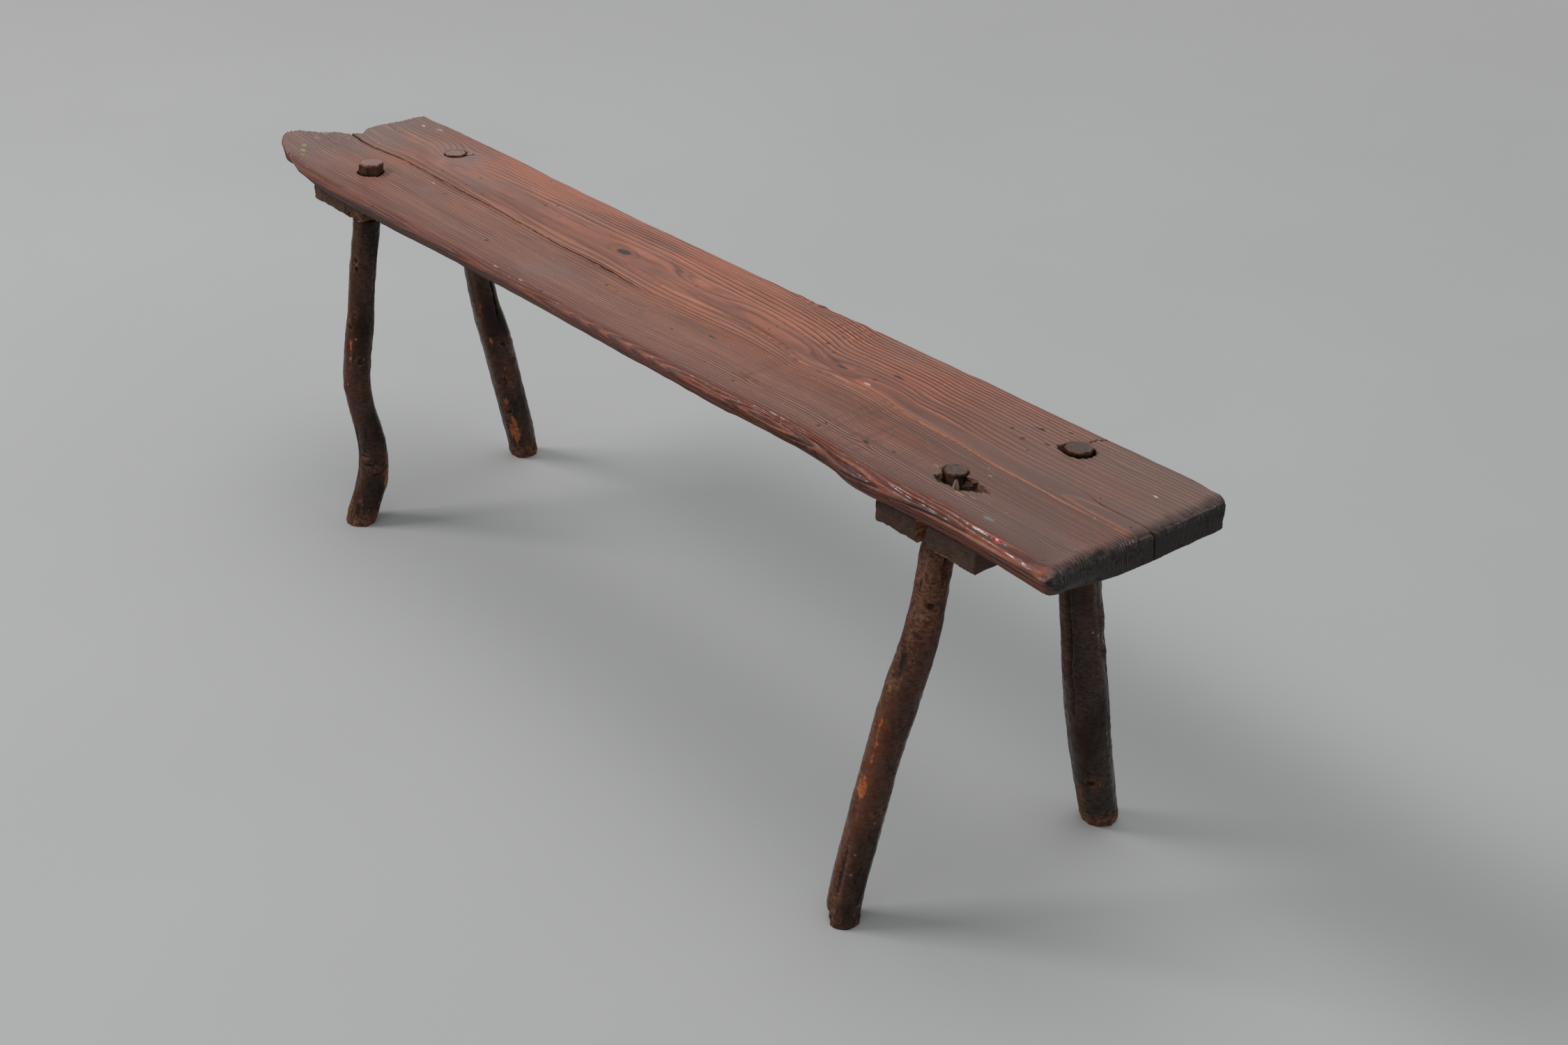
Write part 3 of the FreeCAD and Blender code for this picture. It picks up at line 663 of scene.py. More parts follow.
def knot_mask(points):
    """1 in the dark hearts of the knots."""
    mask = 0.0
    for *spot, _ in KNOTS:
        mask = np.maximum(mask, bell(oval(points, *spot), 0.95))
    return mask * (points[:, 2] > SEAT_TOP - 12)


def arris_mask(points):
    """1 on the rubbed arrises: strong along the front, weaker round the ends and the back."""
    x, y, z = points.T
    front = follow(FRONT_EDGE, x)
    inward = 3.8 + 5.2 * broad_front(x)
    near = np.abs(y - front - inward) * np.where(y > front + inward, 1, 0.6)
    strong = bell(near, 6.0 + ease(350, 480, x)) * ease(SEAT_TOP - 14, SEAT_TOP - 7, z)
    strong *= 0.85 + 0.3 * noise(points, (60, 9, 9), 19)
    right = bell(x - HALF_LENGTH, 7) * ease(SEAT_TOP - 10, SEAT_TOP - 3, z)
    left = bell(x - follow(LEFT_END, y), 6) * ease(SEAT_TOP - 14, SEAT_TOP - 3, z)
    back = bell(y - follow(BACK_EDGE, x), 5) * ease(SEAT_TOP - 12, SEAT_TOP - 3, z)
    return np.clip(np.maximum.reduce([strong, 0.85 * right, 0.7 * left, 0.5 * back]), 0, 1)


def ridge_offset(points):
    """How far each point lies behind the wandering line of the second ridge."""
    return grain_offset(points) - RIDGE_OFFSET + 1.5 * noise(points, (45, 300, 300), 12)


def lip_highlight_mask(points):
    """1 on the lips behind the long crack and the second ridge, where a painted highlight goes."""
    x = points[:, 0]
    crack = grain_offset(points)
    ridge = ridge_offset(points)
    first = (1 - 0.6 * ease(-430, -560, x)) * bell(crack - 1.3, 1.5) * (1 - ease(-60, 40, x))
    first *= 0.75 + 0.5 * noise(points, (38, 99, 99), 25)
    second = bell(ridge - 0.4, 1.3) * ease(-95, -45, x)
    second *= 0.8 + 0.5 * noise(points, (38, 99, 99), 26)
    third = 0.8 * bell(ridge - 7.5, 1.4) * ease(-40, 60, x)
    third *= 0.6 + 0.7 * noise(points, (60, 99, 99), 27)
    lips = np.clip(np.maximum.reduce([first, 0.8 * second, 0.7 * third]), 0, 1)
    return lips * (points[:, 2] > SEAT_TOP - 4)


def halo_mask(points):
    """1 on the dark dense grain round the back left tenon."""
    far = oval(points, *HALO) * (1 + 0.3 * noise(points, (40, 12, 99), 29))
    return bell(far, 0.95) * (points[:, 2] > SEAT_TOP - 8)


def ridge_strength(points):
    """How deep the grain is weathered at each place on the top."""
    x, y = points[:, 0], points[:, 1]
    offset = grain_offset(points)
    strength = 0.72 - 0.15 * ease(-40, -85, y) + 0.25 * ease(-30, 10, offset)
    calm = bell(offset - PITH_OFFSET + 2, 15 + 9 * ease(-150, -300, x)) * (1 - 0.9 * ease(-120, 150, x))
    strength = strength * (1 - 0.88 * calm) + 0.4 * ease(50, 75, offset)
    strength *= 0.75 + 0.45 * ease(-100, 250, x)
    strength *= 1 - 0.65 * bell(offset - PITH_OFFSET, 9) * ease(0, 150, x)
    strength += 0.75 * ease(-540, -640, x) + 0.5 * bell(x - HALF_LENGTH, 22)
    strength *= 1 - 0.55 * bell(x - 640, 60) * ease(30, -60, y)
    strength *= 0.85 + 0.5 * noise(points, (130, 30, 60), 8)
    strength *= 1 - 0.6 * halo_mask(points)
    return np.clip(strength, 0.08, 1.5)


def plank_relief(points, normals):
    """How far the surface stands out of the smooth shape, in mm."""
    plank = bpy.context.scene.bench_plank
    x, y = points[:, 0], points[:, 1]
    rings = growth_rings(points)
    profile = ring_profile(rings) * RING_STRENGTH[np.floor(rings).astype(int) % len(RING_STRENGTH)]
    up = ease(0.55, 0.85, normals[:, 2])
    under = ease(0.6, 0.9, -normals[:, 2])
    front = ease(0.25, 0.7, -normals[:, 1])
    back = ease(0.4, 0.8, normals[:, 1])
    end = ease(0.5, 0.85, np.abs(normals[:, 0]))
    ridge = plank.ridge / MM
    edge = plank.edge_ridge / MM
    layered = 0.6 + 0.6 * ease(50, 400, x) + 0.3 * noise(points, (120, 60, 30), 3)
    depth = up * ridge * ridge_strength(points) + front * edge * layered
    depth += back * 0.35 * edge + under * 0.15 + end * 0.18
    relief = depth * (np.minimum(profile, 1.1) - 0.8)

    # the second ridge: the grain has let go along one ring, and the wood in front of it is lower
    offset = ridge_offset(points)
    run = ease(-95, -45, x) * (1 - 0.6 * ease(380, 600, x))
    step = run * up * (0.9 + 0.4 * noise(points, (70, 300, 300), 13))
    relief += step * np.where(offset < 0, -1.35 * np.exp(offset / 3.2), 0.5 * np.exp(-offset / 3.0))
    relief += -0.9 * step * bell(offset + 0.8, 0.9)
    # lips of the long crack
    crack = grain_offset(points)
    run = up * (1 - ease(-40, 50, x))
    relief += run * np.where(crack < 0, -1.3 * np.exp(crack / 5.0), 0.5 * np.exp(-crack / 3.5))

    for *spot, lift in KNOTS:
        far = oval(points, *spot)
        relief += up * lift * (bell(far, 0.8) - 0.9 * bell(far - 1.15, 0.3))
    uneven = 1 + 0.35 * noise(points, (5, 3, 5), 21)
    for *spot, dent in DENTS:
        relief -= up * dent * bell(oval(points, *spot) * uneven, 0.85)

    relief += up * (0.5 * noise(points, (260, 45, 60), 4) + 0.12 * layered_noise(points, (14, 3, 5), 5))
    crumbly = (0.12 + 0.25 * ease(100, 400, x)) * layered_noise(points, (9, 5, 3), 7)
    relief += front * (0.55 * layered_noise(points, (90, 20, 9), 6) + crumbly)
    relief += back * 0.6 * layered_noise(points, (60, 20, 9), 9)
    relief += under * 0.8 * layered_noise(points, (160, 40, 30), 10)
    pits = np.clip(layered_noise(points, (4.0, 3.2, 2.6), 15) - 0.45, 0, 1)
    relief += end * (0.5 * layered_noise(points, (30, 22, 9), 14) - 2.0 * pits)
    # the lip of the sawn end is worn, and the hard rings stand out of it like teeth
    lip = up * bell(x - HALF_LENGTH + 3, 9)
    relief -= lip * (0.6 * (1 - np.minimum(profile, 1)) + 0.9 * layered_noise(points, (9, 7, 9), 28) + 0.5)
    # the left end is furrowed where the weather has eaten the soft wood
    furrow = np.clip(noise(points, (75, 4.5, 99), 22) - 0.15, 0, 1)
    furrow += 0.6 * np.clip(noise(points, (40, 2.6, 99), 23) - 0.2, 0, 1)
    relief -= up * 2.2 * furrow * ease(-545, -640, x) * (0.45 + 0.55 * ease(20, -20, y))
    return relief


def plank_slab(stations, columns, layers):
    """A closed slab from -0.5 to 0.5, fine on top and coarse underneath."""
    bm = bmesh.new()
    bmesh.ops.create_grid(bm, x_segments=stations, y_segments=columns, size=0.5)
    grown = bmesh.ops.extrude_face_region(bm, geom=list(bm.faces))
    low = [v for v in grown["geom"] if isinstance(v, bmesh.types.BMVert)]
    bmesh.ops.translate(bm, verts=low, vec=(0, 0, -1))
    upright = [e for e in bm.edges if abs(e.verts[0].co.z - e.verts[1].co.z) > 0.5]
    bmesh.ops.subdivide_edges(bm, edges=upright, cuts=layers - 1, use_grid_fill=True)
    spare = []
    for e in bm.edges:
        a, b = e.verts[0].co, e.verts[1].co
        if a.z < -0.99 and b.z < -0.99 and abs(a.y - b.y) < 1e-6 and abs(a.y) < 0.499:
            if round((a.y + 0.5) * columns) % UNDER_STEP:
                spare.append(e)
    bmesh.ops.dissolve_edges(bm, edges=spare, use_verts=True)
    return to_object(bm, "seat")


def axis_place(leg, z):
    """The middle of a leg's straight axis at height z."""
    foot, tenon, _, _ = LEGS[leg]
    share = np.asarray(z, float) / SEAT_TOP
    return np.stack([foot[0] + (tenon[0] - foot[0]) * share, foot[1] + (tenon[1] - foot[1]) * share], -1)


def bore_cutter(leg, reach_up, bulges, rough, seed):
    """A slanting hole for a tenon, chipped at its mouth. bulges are (direction, spread, reach)."""
    cutter = rod("bore", 56, 16, 1)
    points = read_points(cutter.data)
    angle = np.arctan2(points[:, 1], points[:, 0])
    low, high = reach_up
    z = low + (high - low) * points[:, 2]
    middle = axis_place(leg, z)
    radius = LEGS[leg][2] / 2 + BORE_GAP
    mouth = ease(SEAT_TOP - 9, SEAT_TOP + 1, z)
    place = ring_of_places(angle, z, 20)
    wide = radius + rough * (1 + layered_noise(place, (4, 4, 6), seed)) * (0.5 + mouth)
    for direction, width, reach in bulges:
        bulge = reach * bell(turn_from(angle, direction), width) * (0.35 + 0.65 * mouth)
        wide += bulge * (1 + 0.25 * noise(place, (3, 3, 9), seed + 4))
    share = np.minimum(np.hypot(points[:, 0], points[:, 1]), 1)
    x = middle[:, 0] + np.cos(angle) * wide * share
    y = middle[:, 1] + np.sin(angle) * wide * share
    write_points(cutter.data, np.stack([x, y, z], 1) * MM)
    return cutter


def crack_cutter(name, line, half_width, floor, start, stop, cuts, seed):
    """A thin ragged blade for a crack from x start to stop, down to the height floor.

    line and half_width give its y and its half width for each x.
    """
    blade = block(name, cuts, 0, 5)
    share = read_points(blade.data)
    x = start + (stop - start) * share[:, 0]
    down = 1 - share[:, 2]
    side = share[:, 1] * 2 - 1
    z = floor + (SEAT_TOP + 3 - floor) * share[:, 2]
    place = np.stack([x, side * 3, z], 1)
    width = half_width(x) * (1 - 0.55 * down) * (1 + 0.45 * noise(place, (11, 2, 9), seed))
    y = line(x) + side * np.maximum(width, 0.12) + 0.5 * noise(place * (1, 0, 1), (9, 9, 30), seed + 2)
    y += noise(place * (1, 0, 0), (30, 9, 9), seed + 3) + 1.8 * down * down
    write_points(blade.data, np.stack([x, y, z], 1) * MM)
    return blade


def hollow_cutter(name, middle, reach, turn, seed, rough):
    """A ragged bowl. middle is its centre, reach its half sizes, turn its turn in degrees."""
    bm = bmesh.new()
    bmesh.ops.create_icosphere(bm, subdivisions=5, radius=1.0)
    bowl = to_object(bm, name)
    points = read_points(bowl.data)
    scale = 1 + rough * layered_noise(points * 30, (14, 14, 14), seed, 4)
    points = points * scale[:, None] * np.array(reach)
    cos, sin = math.cos(math.radians(turn)), math.sin(math.radians(turn))
    x = points[:, 0] * cos - points[:, 1] * sin
    y = points[:, 0] * sin + points[:, 1] * cos
    write_points(bowl.data, (np.stack([x, y, points[:, 2]], 1) + np.array(middle)) * MM)
    return bowl


def seat_cutters():
    """Everything that is cut out of the plank: mortises, cracks and the torn hollow."""
    bores = [
        bore_cutter("front_left_leg", PLANK_BORE, ((175, 0.25, 3.0), (-8, 0.4, 2.2)), 0.25, 1),
        bore_cutter(
            "back_left_leg", PLANK_BORE,
            ((185, 0.35, 1.0), (110, 0.5, 1.6), (50, 0.42, 8.4), (0, 0.3, 1.0)), 0.1, 2),
        bore_cutter("front_right_leg", PLANK_BORE, ((165, 0.3, 1.2),), 0.25, 3),
        bore_cutter(
            "back_right_leg", PLANK_BORE, ((200, 0.55, 8.0), (-90, 0.8, 0.6), (20, 0.5, 1.0)), 0.2, 4),
    ]
    hollows = [
        hollow_cutter(name, (x, y, SEAT_TOP + height), reach, turn, seed, rough)
        for name, (x, y, height), reach, turn, seed, rough in HOLLOWS
    ]
    cracks = [
        crack_cutter(
            "long_crack", functools.partial(follow, GRAIN_LINE), functools.partial(follow, LONG_CRACK),
            floor=SEAT_TOP - 10.5, start=-690, stop=48, cuts=260, seed=31),
        crack_cutter(
            "end_crack", lambda x: 14.5 + 5 * ease(650, 600, x), lambda x: 0.25 + 1.45 * ease(590, 706, x),
            floor=PLANK_BOTTOM - 4, start=596, stop=709, cuts=40, seed=33),
        crack_cutter(
            "tenon_crack", lambda x: 84 + (x - 545) * 2.1, lambda x: 1.3 + 0 * x,
            floor=SEAT_TOP - 9, start=544, stop=561, cuts=24, seed=35),
    ]
    return bores + hollows + cracks


def build_plank():
    """The weathered seat: a shaped slab with raised grain, cracks, mortises and hollows."""
    piece = plank_slab(STATIONS, COLUMNS, LAYERS)
    share = read_points(piece.data) + np.array((0.5, 0.5, 0))
    stations = spread(STATIONS, 0, PLANK_LENGTH, (
        (0, 60, 2.6), (205, 60, 1.4), (607, 40, 1.4), (1240, 60, 1.2), (PLANK_LENGTH, 16, 5.0)))
    columns = spread(COLUMNS, 0, 2 * HALF_WIDTH, ((0, 12, 0.7), (45, 55, 0.5), (2 * HALF_WIDTH, 8, 0.7)))
    layers = spread(LAYERS, 0, THICKNESS, ((0, 7, 0.8), (THICKNESS, 3, 0.6)))
    points = plank_plan(
        at_share(share[:, 0], stations), at_share(share[:, 1], columns), at_share(-share[:, 2], layers))
    write_points(piece.data, points)
    normals = read_normals(piece.data)
    write_value(piece.data, "rings", growth_rings(points))
    points += normals * plank_relief(points, normals)[:, None]
    write_points(piece.data, keep_inside(points * MM))
    piece.data.materials.append(plank_material())
    piece.data.materials.append(torn_material())
    cut_away(piece, seat_cutters())
    points = read_points(piece.data) / MM
    # the rings of the smooth shape are kept, so that colours follow the ridges; cut edges get new ones
    rings, new_rings = read_value(piece.data, "rings"), growth_rings(points)
    write_value(piece.data, "rings", np.where(np.abs(rings - new_rings) < 1.5, rings, new_rings))
    for name, mask in (("knot", knot_mask), ("rubbed", arris_mask), ("weathered", ridge_strength),
                       ("lip", lip_highlight_mask), ("halo", halo_mask)):
        write_value(piece.data, name, mask(points))
    finish_piece(piece, "seat_plank")


# ---------------------------------------------------------------- branches


def solid_tree(node):
    """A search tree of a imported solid, in mm."""
    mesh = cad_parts[node].data
    mesh.calc_loop_triangles()
    points = read_points(mesh) / MM
    corners = np.empty(len(mesh.loop_triangles) * 3, int)
    mesh.loop_triangles.foreach_get("vertices", corners)
    return BVHTree.FromPolygons([Vector(p) for p in points], corners.reshape(-1, 3).tolist())


def round_branch(angle, direction):
    """Way in mm round a branch between each angle and a direction in degrees."""
    return turn_from(angle, direction) * GIRTH


def from_spot(z, angle, height, direction, up, around):
    """Distance from a spot on a branch, as a share of its reach up and round."""
    return np.hypot((z - height) / up, round_branch(angle, direction) / around)


def patches(z, angle, places):
    """A mask from 0 to 1 over soft patches on a branch."""
    mask = np.zeros_like(z)
    for *spot, strength in places:
        mask = np.maximum(mask, strength * bell(from_spot(z, angle, *spot), 1.0))
    return mask


def torn_edge(z, angle):
    """A factor round 1 that makes the outline of lumps and pits ragged."""
    return 1 + 0.4 * layered_noise(ring_of_places(angle, z), (9, 9, 12), 41, 2)


def pit_shade_mask(leg, z, angle):
    """1 in the pits and nicks of a branch, for painted shade."""
    mask = np.zeros_like(z)
    uneven = torn_edge(z, angle)
    for *spot, lift in LUMPS[leg]:
        far = uneven * from_spot(z, angle, *spot)
        mask = np.maximum(mask, np.clip(-lift / 1.8, 0, 1) * bell(far, 0.75))
    return mask


def solid_radius(leg, z, angle, middle):
    """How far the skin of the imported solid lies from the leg's axis, in mm."""
    _, _, tenon_width, proud = LEGS[leg]
    tree = solid_tree(leg)
    radius = np.empty(len(z))
    found = {}
    for i, (height, turn) in enumerate(zip(z, angle)):
        key = (round(height, 3), round(turn, 4))
        if key not in found:
            level = min(max(height, 0.4), SEAT_TOP + proud - 1.9)
            origin = Vector((middle[i, 0], middle[i, 1], level))
            hit = tree.ray_cast(origin, Vector((math.cos(turn), math.sin(turn), 0)))
            found[key] = hit[3] if hit[3] is not None else tenon_width / 2
        radius[i] = found[key]
    return radius


def branch_relief(leg, z, angle, place, bark):
    """How far the branch below its shoulder stands out of the smooth shape, in mm."""
    relief = 0.9 * noise(place, (13, 13, 95), 1) + 0.45 * noise(place, (5, 5, 40), 2)
    relief += 0.45 * layered_noise(place, (8, 8, 13), 3) + 0.22 * layered_noise(place, (2.6, 2.6, 5), 4)
    relief += bark * layered_noise(place, (3.4, 3.4, 8), 5)
    uneven = torn_edge(z, angle)
    for *spot, lift in LUMPS[leg]:
        relief += 1.35 * lift * bell(uneven * from_spot(z, angle, *spot), 0.85)
    upward = place * (0, 0, 1)
    for low, high, turn_low, turn_high, half, depth in SPLITS[leg]:
        share_up = np.clip((z - low) / (high - low), 0, 1)
        away = round_branch(angle, turn_low)
        away -= np.radians((turn_high - turn_low) * share_up) * GIRTH
        away += 1.2 * noise(upward, (9, 9, 26), 6) + 0.5 * noise(upward, (9, 9, 8), 7)
        within = ease(low - 8, low + 14, z) * (1 - ease(high - 10, high + 4, z))
        relief -= depth * within * bell(away, half * (0.4 + 0.6 * within))
    foot_edge = ease(5, 0, z)
    return relief - 1.1 * foot_edge * (1 + 0.7 * noise(place, (9, 9, 12), 8))


def build_leg(leg, seed):
    """A crooked branch with its whittled tenon, one piece of wood from foot to head."""
    proud = LEGS[leg][3]
    head = SEAT_TOP + proud
    piece = rod(leg + "_wood", LEG_SIDES, LEG_STEPS, LEG_RINGS)
    mesh = piece.data
    share = read_points(mesh)
    heights = np.concatenate([
        spread(BODY_STEPS, 0.0, SHOULDER - 0.6, ((0, 14, 1.2), (SHOULDER, 12, 1.0))),
        spread(LEG_STEPS - BODY_STEPS - 1, SHOULDER + 0.05, head, ((head, 8, 4.0),)),
    ])
    z = at_share(share[:, 2], heights)
    angle = np.arctan2(share[:, 1], share[:, 0])
    inward = np.minimum(np.hypot(share[:, 0], share[:, 1]), 1.0)
    middle = axis_place(leg, z)
    radius = solid_radius(leg, z, angle, middle)

    place = ring_of_places(angle, z) + np.array([seed * 171.0, 0, 0])
    bark = patches(z, angle, RUBBED[leg])
    body = 1 - ease(SHOULDER - 0.4, SHOULDER, z)
    tenon = 1 - body
    proud_part = ease(SEAT_TOP - 3, SEAT_TOP + 1, z)
    relief = branch_relief(leg, z, angle, place, bark) * body
    whittling = 0.2 * noise(place, (7, 7, 14), 9) - 0.35 + 0.1 * proud_part * noise(place, (3, 3, 4), 10)
    relief += tenon * whittling
    radius = np.maximum(radius + relief, 4.0) * (1 + 0.055 * proud_part)
    rim = ease(head - 2.2, head, z)
    radius = radius * (1 - 0.06 * rim ** 2) - 0.3 * rim
    wide = radius * inward
    x = middle[:, 0] + np.cos(angle) * wide
    y = middle[:, 1] + np.sin(angle) * wide

    # the head is a little domed, and the sole is hollow
    top = share[:, 2] > 0.999
    sole = share[:, 2] < 0.001
    dome = 1.1 if leg == "front_left_leg" else 0.35
    sunk = 0.9 if proud > 2 else 0.7
    crown = np.where(top, (1 - inward ** 2.2) * dome - sunk, 0)
    surface = np.stack([x, y, 0 * x], 1)
    crown += np.where(top, 0.18 * layered_noise(surface, (6, 6, 6), 11), 0)
    z = np.minimum(z + crown, head - 0.05)
    lifted = 0.5 * (1 - inward) ** 0.5 + 0.25 * np.abs(noise(surface, (6, 6, 6), 12)) * (1 - inward)
    z = np.where(sole, lifted, z)
    write_points(mesh, keep_inside(np.stack([x, y, z], 1) * MM))

    mesh.materials.append(branch_material())
    write_value(mesh, "bare", patches(z, angle, BARE[leg]))
    write_value(mesh, "hollow", pit_shade_mask(leg, z, angle))
    write_value(mesh, "warm", patches(z, angle, WARM[leg]))
    write_value(mesh, "rubbed", bark)
    write_value(mesh, "whittled", ease(SHOULDER + 0.5, SHOULDER + 2, z) * (inward > 0.5))
    write_value(mesh, "crown", top)
    write_value(mesh, "rim", bell(z - head + 0.9, 1.4) * ease(0.82, 0.97, inward) * tenon)
    finish_piece(piece, leg)


# ---------------------------------------------------------------- battens and wedges


def batten_points(share, low, high, front_rough, seed):
    """Places for a worn batten between two corners, in mm."""
    size = high - low
    along = share * size
    reach = np.array([2.6, 3.0, 3.6])
    inner = np.clip(along, reach, size - reach)
    inner[:, 2] = np.clip(along[:, 2], reach[2], size[2] - 0.6)
    depth = np.where(along[:, 2:] > size[2] / 2, np.array([2.6, 3.0, 0.6]), reach)
    normals = (along - inner) / depth
    normals /= np.maximum(np.sqrt((normals ** 2).sum(1))[:, None], 1e-9)
    points = low + inner + normals * depth
    relief = layered_noise(points, (28, 60, 12), seed) + 0.5 * layered_noise(points, (5, 12, 4), seed + 3) - 0.3
    front = ease(0.5, 0.9, -normals[:, 1])
    arcs = np.hypot(points[:, 0] - low[0] - size[0] * 0.35, points[:, 2] - low[2] + 30)
    broken = front_rough * layered_noise(points, (6, 6, 4), seed + 5)
    relief += front * (0.35 * ring_profile(arcs / 3.4) + broken - 0.4)
    bottom = ease(0.5, 0.9, -normals[:, 2])
    relief += bottom * 0.35 * ring_profile((points[:, 0] + 6 * noise(points, (40, 90, 40), seed + 6)) / 5.5)
    relief = np.minimum(relief, 0.3)
    relief *= np.where(points[:, 2] > high[2] - 1.5, 0.15, 1.0)
    return points + normals * (relief - 0.35)[:, None]


def worm_holes(low_x, high_x, y, count, seed):
    """Small round holes along Y in the end grain of a batten, none touching another."""
    random = np.random.default_rng(seed)
    places = []
    while len(places) < count:
        x, z = random.uniform(low_x, high_x), random.uniform(*WORM_LEVELS)
        if all(math.hypot(x - a, z - b) > WORM_SPACING for a, b in places):
            places.append((x, z))
    bm = bmesh.new()
    for x, z in places:
        width = random.uniform(1.3, 2.4)
        hole = bmesh.ops.create_cone(
            bm, cap_ends=True, segments=9, radius1=width / 2, radius2=width / 2.4, depth=random.uniform(8, 16))
        bmesh.ops.rotate(bm, verts=hole["verts"], cent=(0, 0, 0), matrix=Matrix.Rotation(math.pi / 2, 3, "X"))
        bmesh.ops.translate(bm, verts=hole["verts"], vec=(x, y, z))
    bmesh.ops.scale(bm, verts=list(bm.verts), vec=(MM, MM, MM))
    return to_object(bm, "worm_holes")


def slot_cutter(name, low, high, rough, seed):
    """A ragged square slot between two corners, in mm."""
    piece = block(name, 6, 24, 14)
    share = read_points(piece.data)
    low, high = np.array(low, float), np.array(high, float)
    points = low + share * (high - low)
    side = np.sign(share[:, 0] - 0.5)
    points[:, 0] += side * rough * layered_noise(points, (9, 9, 5), seed)
    points[:, 0] += 1.2 * noise(points * (0, 1, 1), (9, 26, 12), seed + 2)
    back = ease(0.8, 1.0, share[:, 1])
    points[:, 1] += back * rough * 1.5 * layered_noise(points, (4, 4, 4), seed + 3)
    write_points(piece.data, points * MM)
    return piece


def build_batten(node, cutters, front_rough, seed):
    """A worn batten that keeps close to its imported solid."""
    low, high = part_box(node)
    low, high = np.array(low) / MM, np.array(high) / MM
    piece = block(node + "_wood", *BATTEN_CUTS)
    points = batten_points(read_points(piece.data), low, high, front_rough, seed)
    write_points(piece.data, points * MM)
    piece.data.materials.append(batten_material())
    piece.data.materials.append(batten_torn_material())
    cut_away(piece, cutters)
    finish_piece(piece, node)


def build_battens():
    left_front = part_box("left_batten")[0].y / MM
    right_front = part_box("right_batten")[0].y / MM
    left_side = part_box("left_batten")[1].x / MM
    low, high = BATTEN_BORE
    build_batten("left_batten", [
        bore_cutter("front_left_leg", BATTEN_BORE, (), 0.2, 11),
        bore_cutter("back_left_leg", BATTEN_BORE, (), 0.2, 12),
        slot_cutter("split", (-520.6, left_front - 4, low), (-519.0, left_front + 45, high), 0.3, 41),
        slot_cutter(
            "break", (left_side - 24, left_front - 4, low), (left_side + 6, left_front + 20, high), 1.6, 42),
        hollow_cutter("crumble", (-497, left_front, 396), (20, 5, 9), 0, 43, 0.35),
        worm_holes(-580, -526, left_front, 12, 3),
    ], 0.9, 50)
    build_batten("right_batten", [
        bore_cutter("front_right_leg", BATTEN_BORE, (), 0.2, 13),
        bore_cutter("back_right_leg", BATTEN_BORE, (), 0.2, 14),
        slot_cutter("gap", (519, right_front - 4, low), (532, -47, high), 1.3, 45),
        hollow_cutter("low_chip", (560, right_front, 394), (22, 4, 5), 0, 46, 0.35),
        worm_holes(472, 512, right_front, 8, 4),
        worm_holes(538, 588, right_front, 9, 5),
    ], 0.7, 60)


def build_wedge(node, seed, frayed):
    """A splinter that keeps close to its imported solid."""
    low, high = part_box(node)
    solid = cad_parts[node].data.copy()
    bm = bmesh.new()
    bm.from_mesh(solid)
    bpy.data.meshes.remove(solid)
    bmesh.ops.remove_doubles(bm, verts=list(bm.verts), dist=1e-5)
    piece = to_object(bm, node + "_wood")
    refine = piece.modifiers.new("refine", "REMESH")
    refine.mode = "VOXEL"
    refine.voxel_size = WEDGE_CELL
    bake_modifiers(piece)
    mesh = piece.data
    points = read_points(mesh) / MM
    normals = read_normals(mesh)
    foot, tip = low.z / MM + 4, high.z / MM
    top = ease(tip - 4, tip, points[:, 2])
    relief = -0.25 + 0.2 * layered_noise(points, (2.2, 2.2, 9), seed)
    relief += -frayed * top * (1 + layered_noise(points, (1.5, 1.5, 7), seed + 2))
    points += normals * relief[:, None]
    up = np.clip((points[:, 2] - foot) / (tip - foot), 0, 1)
    slim = 1 - frayed * 1.2 * up ** 2.2
    for axis in (0, 1):
        middle = (low[axis] + high[axis]) / 2 / MM
        points[:, axis] = middle + (points[:, axis] - middle) * slim
    points[:, 2] -= frayed * 0.8 * top * (1 + layered_noise(points * (1, 1, 0), (2.4, 2.4, 2), seed + 4))
    points[:, 2] += 4.0 * (frayed > 0.5) * ease(foot, tip, points[:, 2])
    write_points(mesh, points * MM)
    for face in mesh.polygons:
        face.use_smooth = True
    mesh.materials.append(wedge_material())
    finish_piece(piece, node)


# ---------------------------------------------------------------- node recipes


class Wire:
    """A value that a node gives. Sums, products and steps of it are nodes too."""

    def __init__(self, recipe, socket):
        self.recipe = recipe
        self.socket = socket

    def __add__(self, other):
        return self.recipe.math("ADD", self, other)

    def __radd__(self, other):
        return self.recipe.math("ADD", other, self)

    def __sub__(self, other):
        return self.recipe.math("SUBTRACT", self, other)

    def __rsub__(self, other):
        return self.recipe.math("SUBTRACT", other, self)

    def __mul__(self, other):
        return self.recipe.math("MULTIPLY", self, other)

    def __truediv__(self, other):
        return self.recipe.math("DIVIDE", self, other)

    def __abs__(self):
        return self.recipe.math("ABSOLUTE", self)

    def ease(self, low, high, start=0.0, stop=1.0):
        """start where the value is low, stop where it is high, smooth between."""
        inputs = dict(enumerate((self, low, high, start, stop)))
        return self.recipe.wire("ShaderNodeMapRange", inputs, interpolation_type="SMOOTHSTEP")


